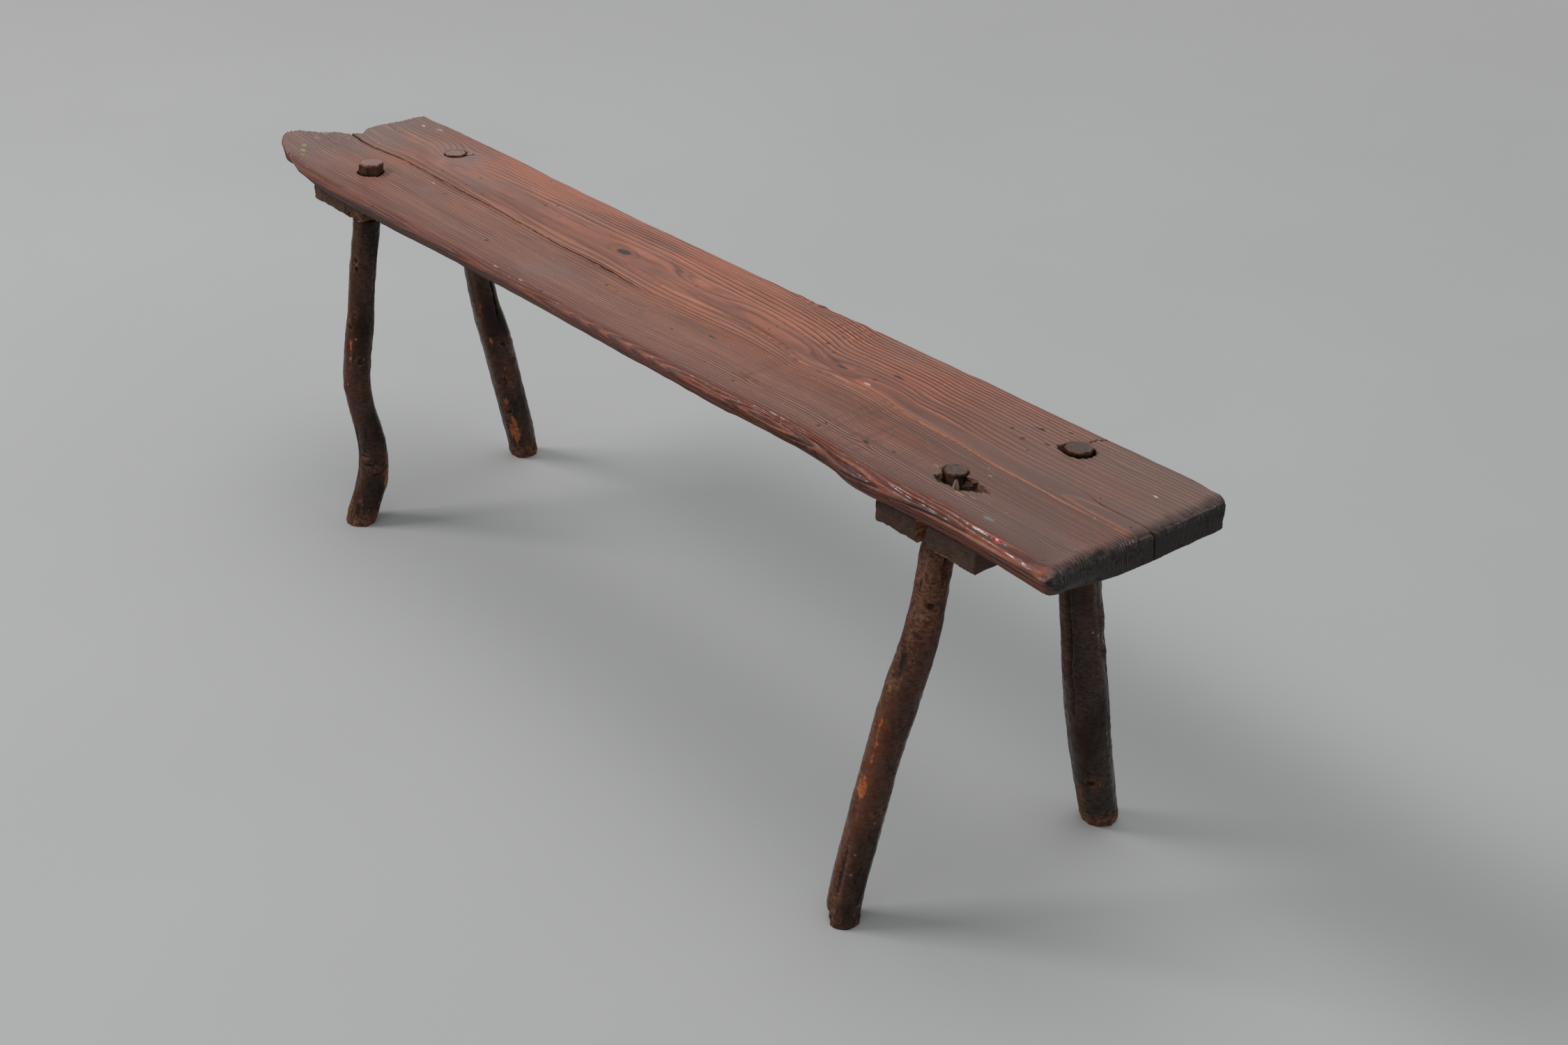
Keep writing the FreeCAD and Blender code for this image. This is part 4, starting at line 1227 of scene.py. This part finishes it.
class Recipe:
    """Adds nodes to a tree and joins them. An input may be a number, a colour or a wire."""

    def __init__(self, tree):
        self.tree = tree

    def put(self, kind, inputs=None, **settings):
        node = self.tree.nodes.new(kind)
        for name, value in settings.items():
            setattr(node, name, value)
        for key, value in (inputs or {}).items():
            self.feed(node.inputs[key], value)
        return node

    def feed(self, socket, value):
        if isinstance(value, Wire):
            self.tree.links.new(value.socket, socket)
        elif socket.type == "RGBA":
            socket.default_value = (*value, 1.0) if len(value) == 3 else value
        else:
            socket.default_value = value

    def wire(self, kind, inputs=None, output=0, **settings):
        """Puts a node and gives one of its outputs."""
        return Wire(self, self.put(kind, inputs, **settings).outputs[output])

    def wires(self, kind, inputs=None, **settings):
        """Puts a node and gives its outputs by name."""
        return {socket.name: Wire(self, socket) for socket in self.put(kind, inputs, **settings).outputs}

    def math(self, operation, *values):
        return self.wire("ShaderNodeMath", dict(enumerate(values)), operation=operation)

    def most(self, first, second):
        return self.math("MAXIMUM", first, second)

    def least(self, first, second):
        return self.math("MINIMUM", first, second)

    def mix(self, share, first, second, blend="MIX"):
        return self.wire(
            "ShaderNodeMix", {0: share, 6: first, 7: second}, 2,
            data_type="RGBA", blend_type=blend, clamp_factor=True)

    def value(self, name):
        """A value that was written on the mesh."""
        return self.wire("ShaderNodeAttribute", output="Fac", attribute_name=name)

    def place(self, scale=(1, 1, 1), shift=(0, 0, 0)):
        """Object coordinates, scaled and shifted."""
        source = self.wire("ShaderNodeTexCoord", output="Object")
        return self.wire("ShaderNodeMapping", {"Vector": source, "Scale": scale, "Location": shift})

    def parts(self, vector=None):
        """The X, Y and Z of a vector, or of the place itself."""
        return list(self.wires("ShaderNodeSeparateXYZ", {0: vector or self.place()}).values())

    def noise(self, scale, detail=3.0, rough=0.55, distortion=0.0, shift=(0, 0, 0)):
        """Noise whose grain per metre is given for each axis."""
        return self.wire("ShaderNodeTexNoise", {
            "Vector": self.place(scale, shift), "Scale": 1.0, "Detail": detail,
            "Roughness": rough, "Distortion": distortion,
        })

    def group(self, tree, **inputs):
        """Puts a node group. Its inputs are named with _ for a space."""
        named = {name.replace("_", " "): value for name, value in inputs.items()}
        return self.wires("ShaderNodeGroup", named, node_tree=tree)


def made_once(kind, name):
    """Runs a maker on its first call. Later calls get the group or material of that name."""
    def wrap(make):
        @functools.wraps(make)
        def give():
            return getattr(bpy.data, kind).get(name) or make(name)
        return give
    return wrap


def new_group(name, inputs, outputs):
    """A shader group with float inputs (name, default) and outputs (name)."""
    tree = bpy.data.node_groups.new(name, "ShaderNodeTree")
    for label, default in inputs:
        socket = tree.interface.new_socket(name=label, in_out="INPUT", socket_type="NodeSocketFloat")
        socket.default_value = default
    for label in outputs:
        tree.interface.new_socket(name=label, in_out="OUTPUT", socket_type="NodeSocketFloat")
    recipe = Recipe(tree)
    start = recipe.wires("NodeGroupInput")
    end = recipe.put("NodeGroupOutput").inputs
    return recipe, start, end


@made_once("node_groups", "Growth rings")
def grain_group(name):
    """Growth rings as masks: hard late wood, dark lines, each ring's own tone, and height."""
    r, start, end = new_group(
        name, (("Rings", 0.0), ("Wobble", 0.2)), ("Late wood", "Dark line", "Tone", "Height"))
    sway = r.noise((22, 260, 260), 4.0, 0.6)
    rings = start["Rings"] + (sway - 0.5) * start["Wobble"]
    part = r.math("FRACT", rings)
    tone = r.wire("ShaderNodeTexWhiteNoise", {"W": r.math("FLOOR", rings)}, noise_dimensions="1D")
    begin = 0.25 + tone * 0.25
    late = part.ease(begin, 0.8) * part.ease(0.9, 0.995, 1.0, 0.0)
    dark = part.ease(0.0, 0.06) * part.ease(0.1, 0.34, 1.0, 0.0)
    between = r.math("FRACT", rings * 2.0 + tone)
    thin = between.ease(0.0, 0.15) * between.ease(0.2, 0.45, 1.0, 0.0)
    dark = r.most(dark, thin * 0.45)
    fibre = r.noise((18, 1100, 1100), 3.0, 0.6)
    height = late + (fibre - 0.5) * 0.6
    for label, wire in (("Late wood", late), ("Dark line", dark), ("Tone", tone), ("Height", height)):
        r.feed(end[label], wire)
    return r.tree


@made_once("node_groups", "Flecks")
def fleck_group(name):
    """Small sparse flecks of different sizes."""
    r, start, end = new_group(name, (("Scale", 120.0), ("Amount", 0.1)), ("Mask",))
    cells = r.wires("ShaderNodeTexVoronoi", {"Vector": r.place(), "Scale": start["Scale"], "Randomness": 1.0})
    draw, size_draw, _ = r.wires("ShaderNodeSeparateColor", {0: cells["Color"]}).values()
    chosen = r.math("LESS_THAN", draw, start["Amount"])
    far = cells["Distance"] + (r.noise((900, 900, 900), 2.0) - 0.5) * 0.25
    size = 0.1 + size_draw * 0.2
    spot = (size - far).ease(0.0, 0.06)
    r.feed(end["Mask"], chosen * spot)
    return r.tree


@made_once("node_groups", "Ragged edge")
def ragged_group(name):
    """Breaks the soft border of a mask along the fibres."""
    r, start, end = new_group(name, (("Mask", 0.0), ("Raggedness", 0.5), ("Softness", 0.15)), ("Mask",))
    frayed = r.noise((170, 170, 60), 6.0, 0.68)
    moved = start["Mask"] + (frayed - 0.5) * start["Raggedness"]
    low = 0.5 - start["Softness"]
    high = 0.5 + start["Softness"]
    r.feed(end["Mask"], moved.ease(low, high))
    return r.tree


@made_once("node_groups", "Paint spot")
def spot_group(name):
    """A ragged spot of paint at a place on the seat."""
    r, start, end = new_group(
        name, (("X", 0.0), ("Y", 0.0), ("Half length", 0.005), ("Half width", 0.003)), ("Mask",))
    x, y, z = r.parts()
    far_x = (x - start["X"]) / start["Half length"]
    far_y = (y - start["Y"]) / start["Half width"]
    far = r.math("SQRT", far_x * far_x + far_y * far_y)
    far = far + (r.noise((300, 700, 700), 3.0) - 0.5) * 2.2
    on_top = r.math("GREATER_THAN", z, 0.44)
    r.feed(end["Mask"], far.ease(0.6, 1.1, 1.0, 0.0) * on_top)
    return r.tree


def ragged(recipe, mask, raggedness, softness):
    """The mask with a border that is broken along the fibres."""
    return recipe.group(ragged_group(), Mask=mask, Raggedness=raggedness, Softness=softness)["Mask"]


def flecks(recipe, scale, amount):
    """1 on small flecks: their number per metre, and the share of the cells that have one."""
    return recipe.group(fleck_group(), Scale=scale, Amount=amount)["Mask"]


def new_material(name, roughness=0.5, specular=0.5, **shader_values):
    """A material with one Principled shader. Numbers given here stand on its own sockets."""
    material = bpy.data.materials.new(name)
    material.use_nodes = True
    recipe = Recipe(material.node_tree)
    shader = material.node_tree.nodes["Principled BSDF"]
    shader.inputs["Roughness"].default_value = roughness
    shader.inputs["Specular IOR Level"].default_value = specular
    for key, value in shader_values.items():
        shader.inputs[key.replace("_", " ")].default_value = value
    return material, recipe, shader.inputs


def bump(recipe, shader, height, distance, strength=1.0):
    inputs = {"Height": height, "Distance": distance, "Strength": strength}
    recipe.feed(shader["Normal"], recipe.wire("ShaderNodeBump", inputs))


def plank_material():
    """Weathered softwood with orange ridges, red rubbed edges and dark grimy ends."""
    plank = bpy.context.scene.bench_plank
    material, r, shader = new_material("worn_plank", 0.4, 0.36, Coat_Roughness=0.12)
    x, y, z = r.parts()
    facing_x = r.parts(r.wire("ShaderNodeTexCoord", output="Normal"))[0]
    late, dark, tone, height = r.group(grain_group(), Rings=r.value("rings"), Wobble=0.34).values()
    knot, rubbed, weathered = r.value("knot"), r.value("rubbed"), r.value("weathered")
    fibre = r.noise((14, 420, 420), 5.0, 0.65)
    streak = r.noise((4, 70, 70), 4.0, 0.6)
    cloud = r.noise((5, 15, 15), 4.0, 0.6)
    cloud_two = r.noise((9, 30, 30), 4.0, 0.6, shift=(3, 7, 1))
    mottle = r.noise((90, 160, 160), 4.0, 0.7)

    # how strongly the ridges show
    front = y.ease(-0.02, -0.06)
    contrast = 0.1 + weathered * 0.98
    contrast = contrast * (0.3 + streak * 1.5)
    ridge = late * contrast * (0.35 + tone * 1.2)
    ridge = ridge * (0.55 + fibre * 0.9)
    skin = r.mix(cloud_two.ease(0.35, 0.65), plank.early_wood, (0.275, 0.116, 0.078))
    skin = r.mix(front * 0.6, skin, (0.17, 0.077, 0.06))
    skin = r.mix(x.ease(0.05, 0.5) * 0.6, skin, (0.108, 0.047, 0.036))
    ridge_colour = r.mix(streak.ease(0.35, 0.7), (0.34, 0.14, 0.088), plank.late_wood)
    ridge_colour = r.mix(x.ease(0.1, -0.25), ridge_colour, (0.335, 0.15, 0.1))
    ridge_colour = r.mix(front * 0.75, ridge_colour, (0.4, 0.205, 0.155))
    base = r.mix(ridge, skin, ridge_colour)
    valley = dark * r.most(contrast - 0.2, 0.0)
    base = r.mix(r.least(valley, 0.85), base, (0.05, 0.023, 0.017))
    band = r.noise((2.5, 48, 48), 3.0, 0.6, shift=(1, 4, 2))
    base = r.mix(band.ease(0.5, 0.68) * 0.5, base, (0.095, 0.042, 0.033))
    base = r.mix(band.ease(0.48, 0.3) * 0.22, base, (0.33, 0.155, 0.11))
    base = r.mix(fibre.ease(0.5, 0.75) * 0.35, base, (0.055, 0.026, 0.02))
    base = r.mix(fibre.ease(0.5, 0.25) * 0.18, base, (0.32, 0.15, 0.1))

    # the back half is lighter
    base = r.mix(
        y.ease(-0.025, 0.04) * x.ease(0.67, 0.52, 0.3, 1.0), base, (1.36, 1.26, 1.2, 1.0), blend="MULTIPLY")

    # grey grime towards both ends, and drifting patches of it elsewhere
    left = (x + cloud * 0.14).ease(-0.42, -0.58)
    right = (x + cloud * 0.2).ease(0.44, 0.7)
    grime = r.most(left * 0.85, right * 0.85)
    grime = r.most(grime, cloud.ease(0.52, 0.72) * 0.5)
    grime = grime * ridge.ease(0.15, 0.7, 1.0, 0.5)
    grey = r.mix(y.ease(-0.02, 0.05), plank.grey_film, (0.16, 0.102, 0.083))
    base = r.mix(grime, base, r.mix(x.ease(0.1, -0.1), grey, plank.left_film))

    # red stain, strongest where hands and legs have rubbed the arris
    red_patch = cloud_two.ease(0.55, 0.8) * 0.35
    base = r.mix(red_patch, base, (0.24, 0.07, 0.042))
    # painted highlight: the lips behind the long crack and the second ridge are orange bare wood, made brighter
    # as if lit
    lip = ragged(r, r.value("lip"), 0.6, 0.3)
    base = r.mix(lip * 0.7, base, (0.42, 0.135, 0.052))
    strip = (y + cloud * 0.05).ease(-0.035, -0.085) * 0.4
    base = r.mix(strip, base, (0.12, 0.042, 0.03))
    rub = rubbed * 1.1 + (late - 0.4) * 0.25
    rub = ragged(r, rub * rubbed.ease(0.02, 0.2), 0.8, 0.3)
    base = r.mix(rub * 0.86, base, plank.red_film)
    base = r.mix(rub * late * x.ease(-0.1, 0.4, 0.35, 0.6), base, (0.36, 0.08, 0.033))

    # below the arris the sides are painted dark as shade, darkest at the bottom; their brown and pale ridges
    # are painted lit, fading downwards and towards the back
    low = z.ease(0.4455, 0.44)
    deep = z.ease(0.437, 0.424)
    base = r.mix(low * 0.92, base, r.mix(deep, (0.028, 0.011, 0.008), (0.016, 0.009, 0.007)))
    # painted light on these ridges, weaker towards the bottom and the back
    lit = low * late * ((0.5 + tone * 0.6) * (x.ease(-0.35, 0.3, 0.4, 1.0) * y.ease(0.03, 0.08, 1.0, 0.5)))
    base = r.mix(lit * z.ease(0.418, 0.436, 0.35, 0.85), base, (0.31, 0.085, 0.04))
    base = r.mix(lit * streak.ease(0.5, 0.65) * 0.4, base, (0.32, 0.18, 0.125))

    # dense dark grain round the back left tenon
    halo = r.value("halo") * (0.6 + fibre * 0.7)
    base = r.mix(r.least(halo, 0.85), base, r.mix(late, (0.17, 0.122, 0.112), (0.235, 0.175, 0.16)))

    # knots
    base = r.mix((knot + mottle * 0.3).ease(0.45, 0.85), base, (0.05, 0.041, 0.038))
    ring_of_knot = knot.ease(0.1, 0.35) * knot.ease(0.7, 0.45)
    base = r.mix(ring_of_knot * 0.4, base, (0.3, 0.09, 0.04))

    # sawn ends
    end = abs(facing_x).ease(0.35, 0.7)
    # the top is painted darker over the rounded lip of the right end
    dark_end_lip = (x + (fibre - 0.5) * 0.02).ease(0.684, 0.698) * 0.85
    base = r.mix(dark_end_lip, base, (0.042, 0.024, 0.022))
    pale = late * y.ease(0.02, -0.05) * mottle.ease(0.35, 0.6)
    end_colour = r.mix(pale * 0.4, plank.end_grain, (0.13, 0.098, 0.072))
    base = r.mix(end, base, end_colour)

    # flecks and spots
    left_end = x.ease(-0.5, -0.62)
    base = r.mix(flecks(r, 230.0, 0.13) * left_end * 0.8, base, (0.42, 0.37, 0.32))
    base = r.mix(flecks(r, 170.0, 0.045) * r.most(left_end, 0.35) * 0.75, base, (0.36, 0.31, 0.26))
    base = r.mix(flecks(r, 95.0, 0.05) * 0.7, base, (0.04, 0.022, 0.018))
    for *spot, paint in PAINT_SPOTS:
        spot_x, spot_y, half_x, half_y = (value * MM for value in spot)
        spots = r.group(spot_group(), X=spot_x, Y=spot_y, Half_length=half_x, Half_width=half_y)
        base = r.mix(spots["Mask"] * 0.8, base, paint)
    r.feed(shader["Base Color"], base)

    rough = 0.36 + fibre * 0.22
    rough = rough + rub * -0.1 * cloud_two.ease(0.3, 0.6)
    rough = rough + dark * 0.12
    rough = rough + r.most(low, end) * 0.14
    r.feed(shader["Roughness"], r.least(rough, 0.85))
    r.feed(shader["Coat Weight"], rub * x.ease(0.1, 0.45, 0.15, 0.8) * mottle.ease(0.45, 0.6))
    crust = rub * x.ease(0.0, 0.4, 0.3, 1.0)
    bumps = height * weathered + mottle * (0.5 + crust * 2.2)
    bump(r, shader, bumps, 0.0007, 0.8)
    return material


def torn_material():
    """Broken fibres inside cracks, mortises and the hollow, with painted shade deeper down."""
    plank = bpy.context.scene.bench_plank
    material, r, shader = new_material("torn_wood", 0.75, 0.35)
    z = r.parts()[2]
    fibre = r.noise((60, 700, 700), 4.0, 0.65)
    cloud = r.noise((90, 160, 160), 3.0, 0.6)
    base = r.mix(fibre.ease(0.35, 0.7), (0.028, 0.014, 0.009), plank.torn_wood)
    base = r.mix(fibre.ease(0.56, 0.7) * cloud.ease(0.45, 0.6), base, (0.42, 0.25, 0.16))
    # painted shade: the fibres turn near black deeper down in the cracks, mortises and the hollow
    base = r.mix(z.ease(0.4485, 0.434) * 0.9, base, (0.012, 0.007, 0.005))
    base = r.mix(z.ease(0.4465, 0.4492) * 0.5, base, (0.24, 0.1, 0.055))
    # painted highlight on the crack walls below the lips, over orange bare wood
    base = r.mix(r.value("lip") * 0.35, base, (0.28, 0.09, 0.04))
    r.feed(shader["Base Color"], base)
    bump(r, shader, fibre, 0.0009)
    return material


@made_once("materials", "stained_branch")
def branch_material(name):
    """Dark stained branch wood, with bare, rubbed and whittled places, painted shade in its pits and a painted
    highlight round them.
    """
    branch = bpy.context.scene.bench_branch
    material, r, shader = new_material(name, 0.38, 0.12, Coat_Roughness=0.12)
    x, y, z = r.parts()
    streak = r.noise((130, 130, 9), 4.0, 0.6)
    fine = r.noise((420, 420, 60), 4.0, 0.65)
    cloud = r.noise((22, 22, 9), 4.0, 0.6)
    mottle = r.noise((170, 170, 300), 5.0, 0.7)
    bare = ragged(r, r.value("bare"), 2.3, 0.1)
    rubbed = ragged(r, r.value("rubbed"), 1.1, 0.35)
    whittled, crown, rim = r.value("whittled"), r.value("crown"), r.value("rim")

    quiet = 1.0 - x.ease(0.3, 0.45) * y.ease(0.0, 0.08) * 0.7
    base = r.mix(cloud.ease(0.4, 0.62) * 0.4 * quiet, branch.dark_skin, branch.brown_skin)
    warm = r.value("warm") * (0.35 + streak * 0.9)
    base = r.mix(r.least(warm, 0.9), base, branch.brown_skin)
    base = r.mix(streak.ease(0.58, 0.72) * 0.5 * quiet, base, (0.13, 0.045, 0.016))
    base = r.mix(fine.ease(0.58, 0.72) * 0.22, base, (0.1, 0.05, 0.03))
    base = r.mix(fine.ease(0.45, 0.25) * 0.35, base, (0.007, 0.0045, 0.0035))
    worn = r.mix(mottle.ease(0.35, 0.65), (0.06, 0.027, 0.016), branch.rubbed_wood)
    curl = abs(r.noise((75, 75, 130), 3.0, 0.6, 0.6) - 0.5)
    worn = r.mix(curl.ease(0.02, 0.004) * cloud.ease(0.4, 0.6, 0.15, 0.7), worn, (0.33, 0.185, 0.125))
    worn = r.mix(curl.ease(0.03, 0.05) * curl.ease(0.09, 0.06) * 0.35, worn, (0.045, 0.02, 0.012))
    base = r.mix(rubbed * 0.85, base, worn)
    # painted shade in the pits and nicks, and a painted highlight round their rims
    hollow = r.value("hollow")
    base = r.mix(ragged(r, hollow, 0.8, 0.25) * 0.85, base, (0.006, 0.004, 0.003))
    pit_rim_highlight = hollow.ease(0.08, 0.25) * hollow.ease(0.5, 0.3)
    base = r.mix(pit_rim_highlight * mottle.ease(0.45, 0.6) * 0.6, base, (0.15, 0.075, 0.045))
    raw = r.mix(mottle.ease(0.35, 0.65), (0.22, 0.05, 0.018), branch.bare_wood)
    base = r.mix(bare, base, raw)

    flank = r.mix(
        r.noise((120, 120, 90), 4.0, 0.6).ease(0.35, 0.65), (0.018, 0.009, 0.0065),
        r.mix(x.ease(0.0, -0.2), (0.07, 0.032, 0.02), (0.085, 0.036, 0.022)))
    inside = r.mix(fine.ease(0.3, 0.7), (0.1, 0.036, 0.014), (0.3, 0.11, 0.035))
    flank = r.mix(z.ease(0.428, 0.424), flank, inside)
    base = r.mix(whittled, base, flank)
    ends = r.noise((300, 300, 300), 4.0, 0.6)
    top = r.mix(ends.ease(0.35, 0.65), (0.075, 0.05, 0.042), branch.head_wood)
    top = r.mix(
        x.ease(0.0, -0.2) * 0.85, top,
        r.mix(ends.ease(0.35, 0.65), (0.22, 0.137, 0.114), (0.3, 0.195, 0.16)))
    base = r.mix(crown, base, top)
    rim = rim * x.ease(-0.1, 0.1, y.ease(0.0, 0.04, 1.0, 0.4), 0.35)
    base = r.mix(rim * mottle.ease(0.35, 0.55), base, (0.31, 0.135, 0.075))
    base = r.mix(flecks(r, 160.0, 0.04) * 0.5, base, (0.3, 0.2, 0.15))
    r.feed(shader["Base Color"], base)

    rough = 0.3 + fine * 0.2
    rough = rough + r.most(rubbed, bare) * 0.28
    rough = rough + crown * 0.05
    r.feed(shader["Roughness"], rough)
    gloss = r.most(rubbed, bare).ease(0.0, 0.5, 1.0, 0.0) * cloud.ease(0.3, 0.6)
    r.feed(shader["Coat Weight"], gloss * mottle.ease(0.35, 0.6) * 0.6)
    bumps = fine * 0.25 + mottle * (0.4 + rubbed * 2.0)
    bump(r, shader, bumps, 0.001, 0.9)
    return material


@made_once("materials", "dull_batten")
def batten_material(name):
    """Dull rough batten wood with old grime."""
    batten = bpy.context.scene.bench_batten
    material, r, shader = new_material(name, 0.8, 0.25)
    fine = r.noise((260, 60, 500), 5.0, 0.65)
    cloud = r.noise((30, 30, 40), 4.0, 0.6)
    grit = r.noise((700, 700, 700), 4.0, 0.7)
    base = r.mix(fine.ease(0.3, 0.7), (0.05, 0.026, 0.019), batten.dull_wood)
    base = r.mix(cloud.ease(0.5, 0.7) * 0.5, base, (0.16, 0.1, 0.072))
    x = r.parts()[0]
    base = r.mix(x.ease(-0.1, 0.1) * 0.5, base, (0.03, 0.013, 0.009))
    base = r.mix(grit.ease(0.6, 0.75) * x.ease(-0.1, 0.1, 0.6, 0.25), base, batten.crumbs)
    base = r.mix(grit.ease(0.42, 0.3) * 0.6, base, (0.018, 0.011, 0.008))
    r.feed(shader["Base Color"], base)
    bump(r, shader, fine + grit, 0.0009)
    return material


@made_once("materials", "broken_batten")
def batten_torn_material(name):
    """Freshly broken batten wood in splits and holes."""
    batten = bpy.context.scene.bench_batten
    material, r, shader = new_material(name, 0.85, 0.3)
    fine = r.noise((300, 90, 300), 5.0, 0.7)
    cloud = r.noise((70, 70, 70), 3.0, 0.6)
    base = r.mix(fine.ease(0.35, 0.7), (0.08, 0.034, 0.015), (0.34, 0.14, 0.05))
    base = r.mix(fine.ease(0.5, 0.7) * cloud.ease(0.5, 0.65), base, batten.crumbs)
    r.feed(shader["Base Color"], base)
    bump(r, shader, fine, 0.0012)
    return material


@made_once("materials", "riven_wedge")
def wedge_material(name):
    """Pale riven wood of the wedges."""
    batten = bpy.context.scene.bench_batten
    material, r, shader = new_material(name, 0.65, 0.4)
    fine = r.noise((900, 900, 90), 4.0, 0.65)
    cloud = r.noise((200, 200, 60), 3.0, 0.6)
    base = r.mix(fine.ease(0.3, 0.7), (0.2, 0.11, 0.065), batten.wedge_wood)
    base = r.mix(cloud.ease(0.45, 0.65) * 0.3, base, (0.2, 0.13, 0.095))
    x = r.parts()[0]
    base = r.mix(x.ease(0.1, -0.1) * 0.7, base, (0.25, 0.15, 0.115))
    r.feed(shader["Base Color"], base)
    bump(r, shader, fine, 0.0006)
    return material


# ---------------------------------------------------------------- stage


def seen_straight(recipe):
    """1 where the camera, a mirror or glass sees the ground behind the bench."""
    path = recipe.wires("ShaderNodeLightPath")
    seen = recipe.most(path["Is Camera Ray"], path["Is Glossy Ray"])
    return recipe.most(seen, path["Is Transmission Ray"])


def floor_material():
    """A plain floor that runs into the backdrop far away."""
    stage = bpy.context.scene.bench_stage
    material, r, shader = new_material("pale_floor", 0.75, 0.3)
    cloud = r.noise((1.5, 1.5, 1.5), 3.0, 0.5)
    darker, lighter = ([part * share for part in stage.floor] for share in (0.985, 1.015))
    r.feed(shader["Base Color"], r.mix(cloud.ease(0.3, 0.7), darker, lighter))
    far = r.wire("ShaderNodeVectorMath", {0: r.place()}, "Value", operation="LENGTH")
    seen = seen_straight(r)
    backdrop = r.put("ShaderNodeEmission", {"Color": stage.backdrop, "Strength": 1.0})
    fade = r.put("ShaderNodeMixShader", {0: seen * far.ease(1.6, 5.0)})
    nodes, links = material.node_tree.nodes, material.node_tree.links
    links.new(nodes["Principled BSDF"].outputs[0], fade.inputs[1])
    links.new(backdrop.outputs[0], fade.inputs[2])
    links.new(fade.outputs[0], nodes["Material Output"].inputs["Surface"])
    return material


def studio_world():
    """Soft even light, with the backdrop's colour behind the bench."""
    stage = bpy.context.scene.bench_stage
    world = bpy.data.worlds.new("studio")
    world.use_nodes = True
    r = Recipe(world.node_tree)
    seen = seen_straight(r)
    background = world.node_tree.nodes["Background"]
    r.feed(background.inputs["Color"], r.mix(seen, (0.94, 0.97, 1.0), stage.backdrop))
    r.feed(background.inputs["Strength"], r.math("MULTIPLY_ADD", seen, 1.0 - FILL, FILL))
    return world


def build_stage():
    """The floor, two soft lamps, the even light and the camera at the photo's place."""
    stage = bpy.context.scene.bench_stage
    scene = bpy.context.scene
    bm = bmesh.new()
    bmesh.ops.create_grid(bm, x_segments=1, y_segments=1, size=FLOOR_SIZE)
    floor = to_object(bm, "floor")
    floor.data.materials.append(floor_material())

    scene.world = studio_world()

    for name, place, target, size, power in LAMPS:
        data = bpy.data.lights.new(name, "AREA")
        data.shape = "RECTANGLE"
        data.size, data.size_y = size
        data.energy = power
        lamp = bpy.data.objects.new(name, data)
        lamp.location = place
        aim = Vector(target) - Vector(place)
        lamp.rotation_euler = aim.to_track_quat("-Z", "Y").to_euler()
        scene.collection.objects.link(lamp)

    data = bpy.data.cameras.new("camera")
    data.lens = stage.lens / MM
    data.sensor_width = 36.0
    data.clip_end = 200.0
    camera = bpy.data.objects.new("camera", data)
    camera.location = CAMERA_PLACE
    camera.rotation_euler = [math.radians(turn) for turn in CAMERA_TURN]
    scene.collection.objects.link(camera)
    scene.camera = camera
    scene.view_settings.view_transform = "Standard"


# ---------------------------------------------------------------- operators


class BENCH_OT_plank(bpy.types.Operator):
    """Builds the weathered seat plank"""

    bl_idname = "bench.plank"
    bl_label = "Seat plank"

    def execute(self, context):
        build_plank()
        return {"FINISHED"}


class BENCH_OT_legs(bpy.types.Operator):
    """Builds the four branch legs"""

    bl_idname = "bench.legs"
    bl_label = "Branch legs"

    def execute(self, context):
        for seed, leg in enumerate(LEGS):
            build_leg(leg, seed)
        return {"FINISHED"}


class BENCH_OT_battens(bpy.types.Operator):
    """Builds the two battens"""

    bl_idname = "bench.battens"
    bl_label = "Battens"

    def execute(self, context):
        build_battens()
        return {"FINISHED"}


class BENCH_OT_wedges(bpy.types.Operator):
    """Builds the wedge and the splinter beside the tenons"""

    bl_idname = "bench.wedges"
    bl_label = "Wedges"

    def execute(self, context):
        build_wedge("back_left_wedge", 71, 0.15)
        build_wedge("front_right_wedge", 75, 0.7)
        return {"FINISHED"}


class BENCH_OT_stage(bpy.types.Operator):
    """Makes the floor, the light and the camera"""

    bl_idname = "bench.stage"
    bl_label = "Stage"

    def execute(self, context):
        build_stage()
        return {"FINISHED"}


class BENCH_PT_panel(bpy.types.Panel):
    bl_label = "Rustic Plank Bench"
    bl_idname = "BENCH_PT_panel"
    bl_space_type = "VIEW_3D"
    bl_region_type = "UI"
    bl_category = "Bench"

    def draw(self, context):
        for settings in ("bench_plank", "bench_branch", "bench_batten", "bench_stage"):
            group = getattr(context.scene, settings)
            box = self.layout.box()
            for name in group.__annotations__:
                box.prop(group, name)
        for operator in OPERATORS:
            self.layout.operator(operator.bl_idname)


OPERATORS = (BENCH_OT_plank, BENCH_OT_legs, BENCH_OT_battens, BENCH_OT_wedges, BENCH_OT_stage)
SETTINGS = {
    "bench_plank": BenchPlankSettings,
    "bench_branch": BenchBranchSettings,
    "bench_batten": BenchBattenSettings,
    "bench_stage": BenchStageSettings,
}
CLASSES = (*SETTINGS.values(), *OPERATORS, BENCH_PT_panel)


def register():
    for item in CLASSES:
        bpy.utils.register_class(item)
    for name, group in SETTINGS.items():
        setattr(bpy.types.Scene, name, PointerProperty(type=group))


def unregister():
    for name in SETTINGS:
        delattr(bpy.types.Scene, name)
    for item in reversed(CLASSES):
        bpy.utils.unregister_class(item)


def main():
    register()
    bpy.ops.bench.plank()
    bpy.ops.bench.legs()
    bpy.ops.bench.battens()
    bpy.ops.bench.wedges()
    bpy.ops.bench.stage()


if __name__ == "__main__":
    main()
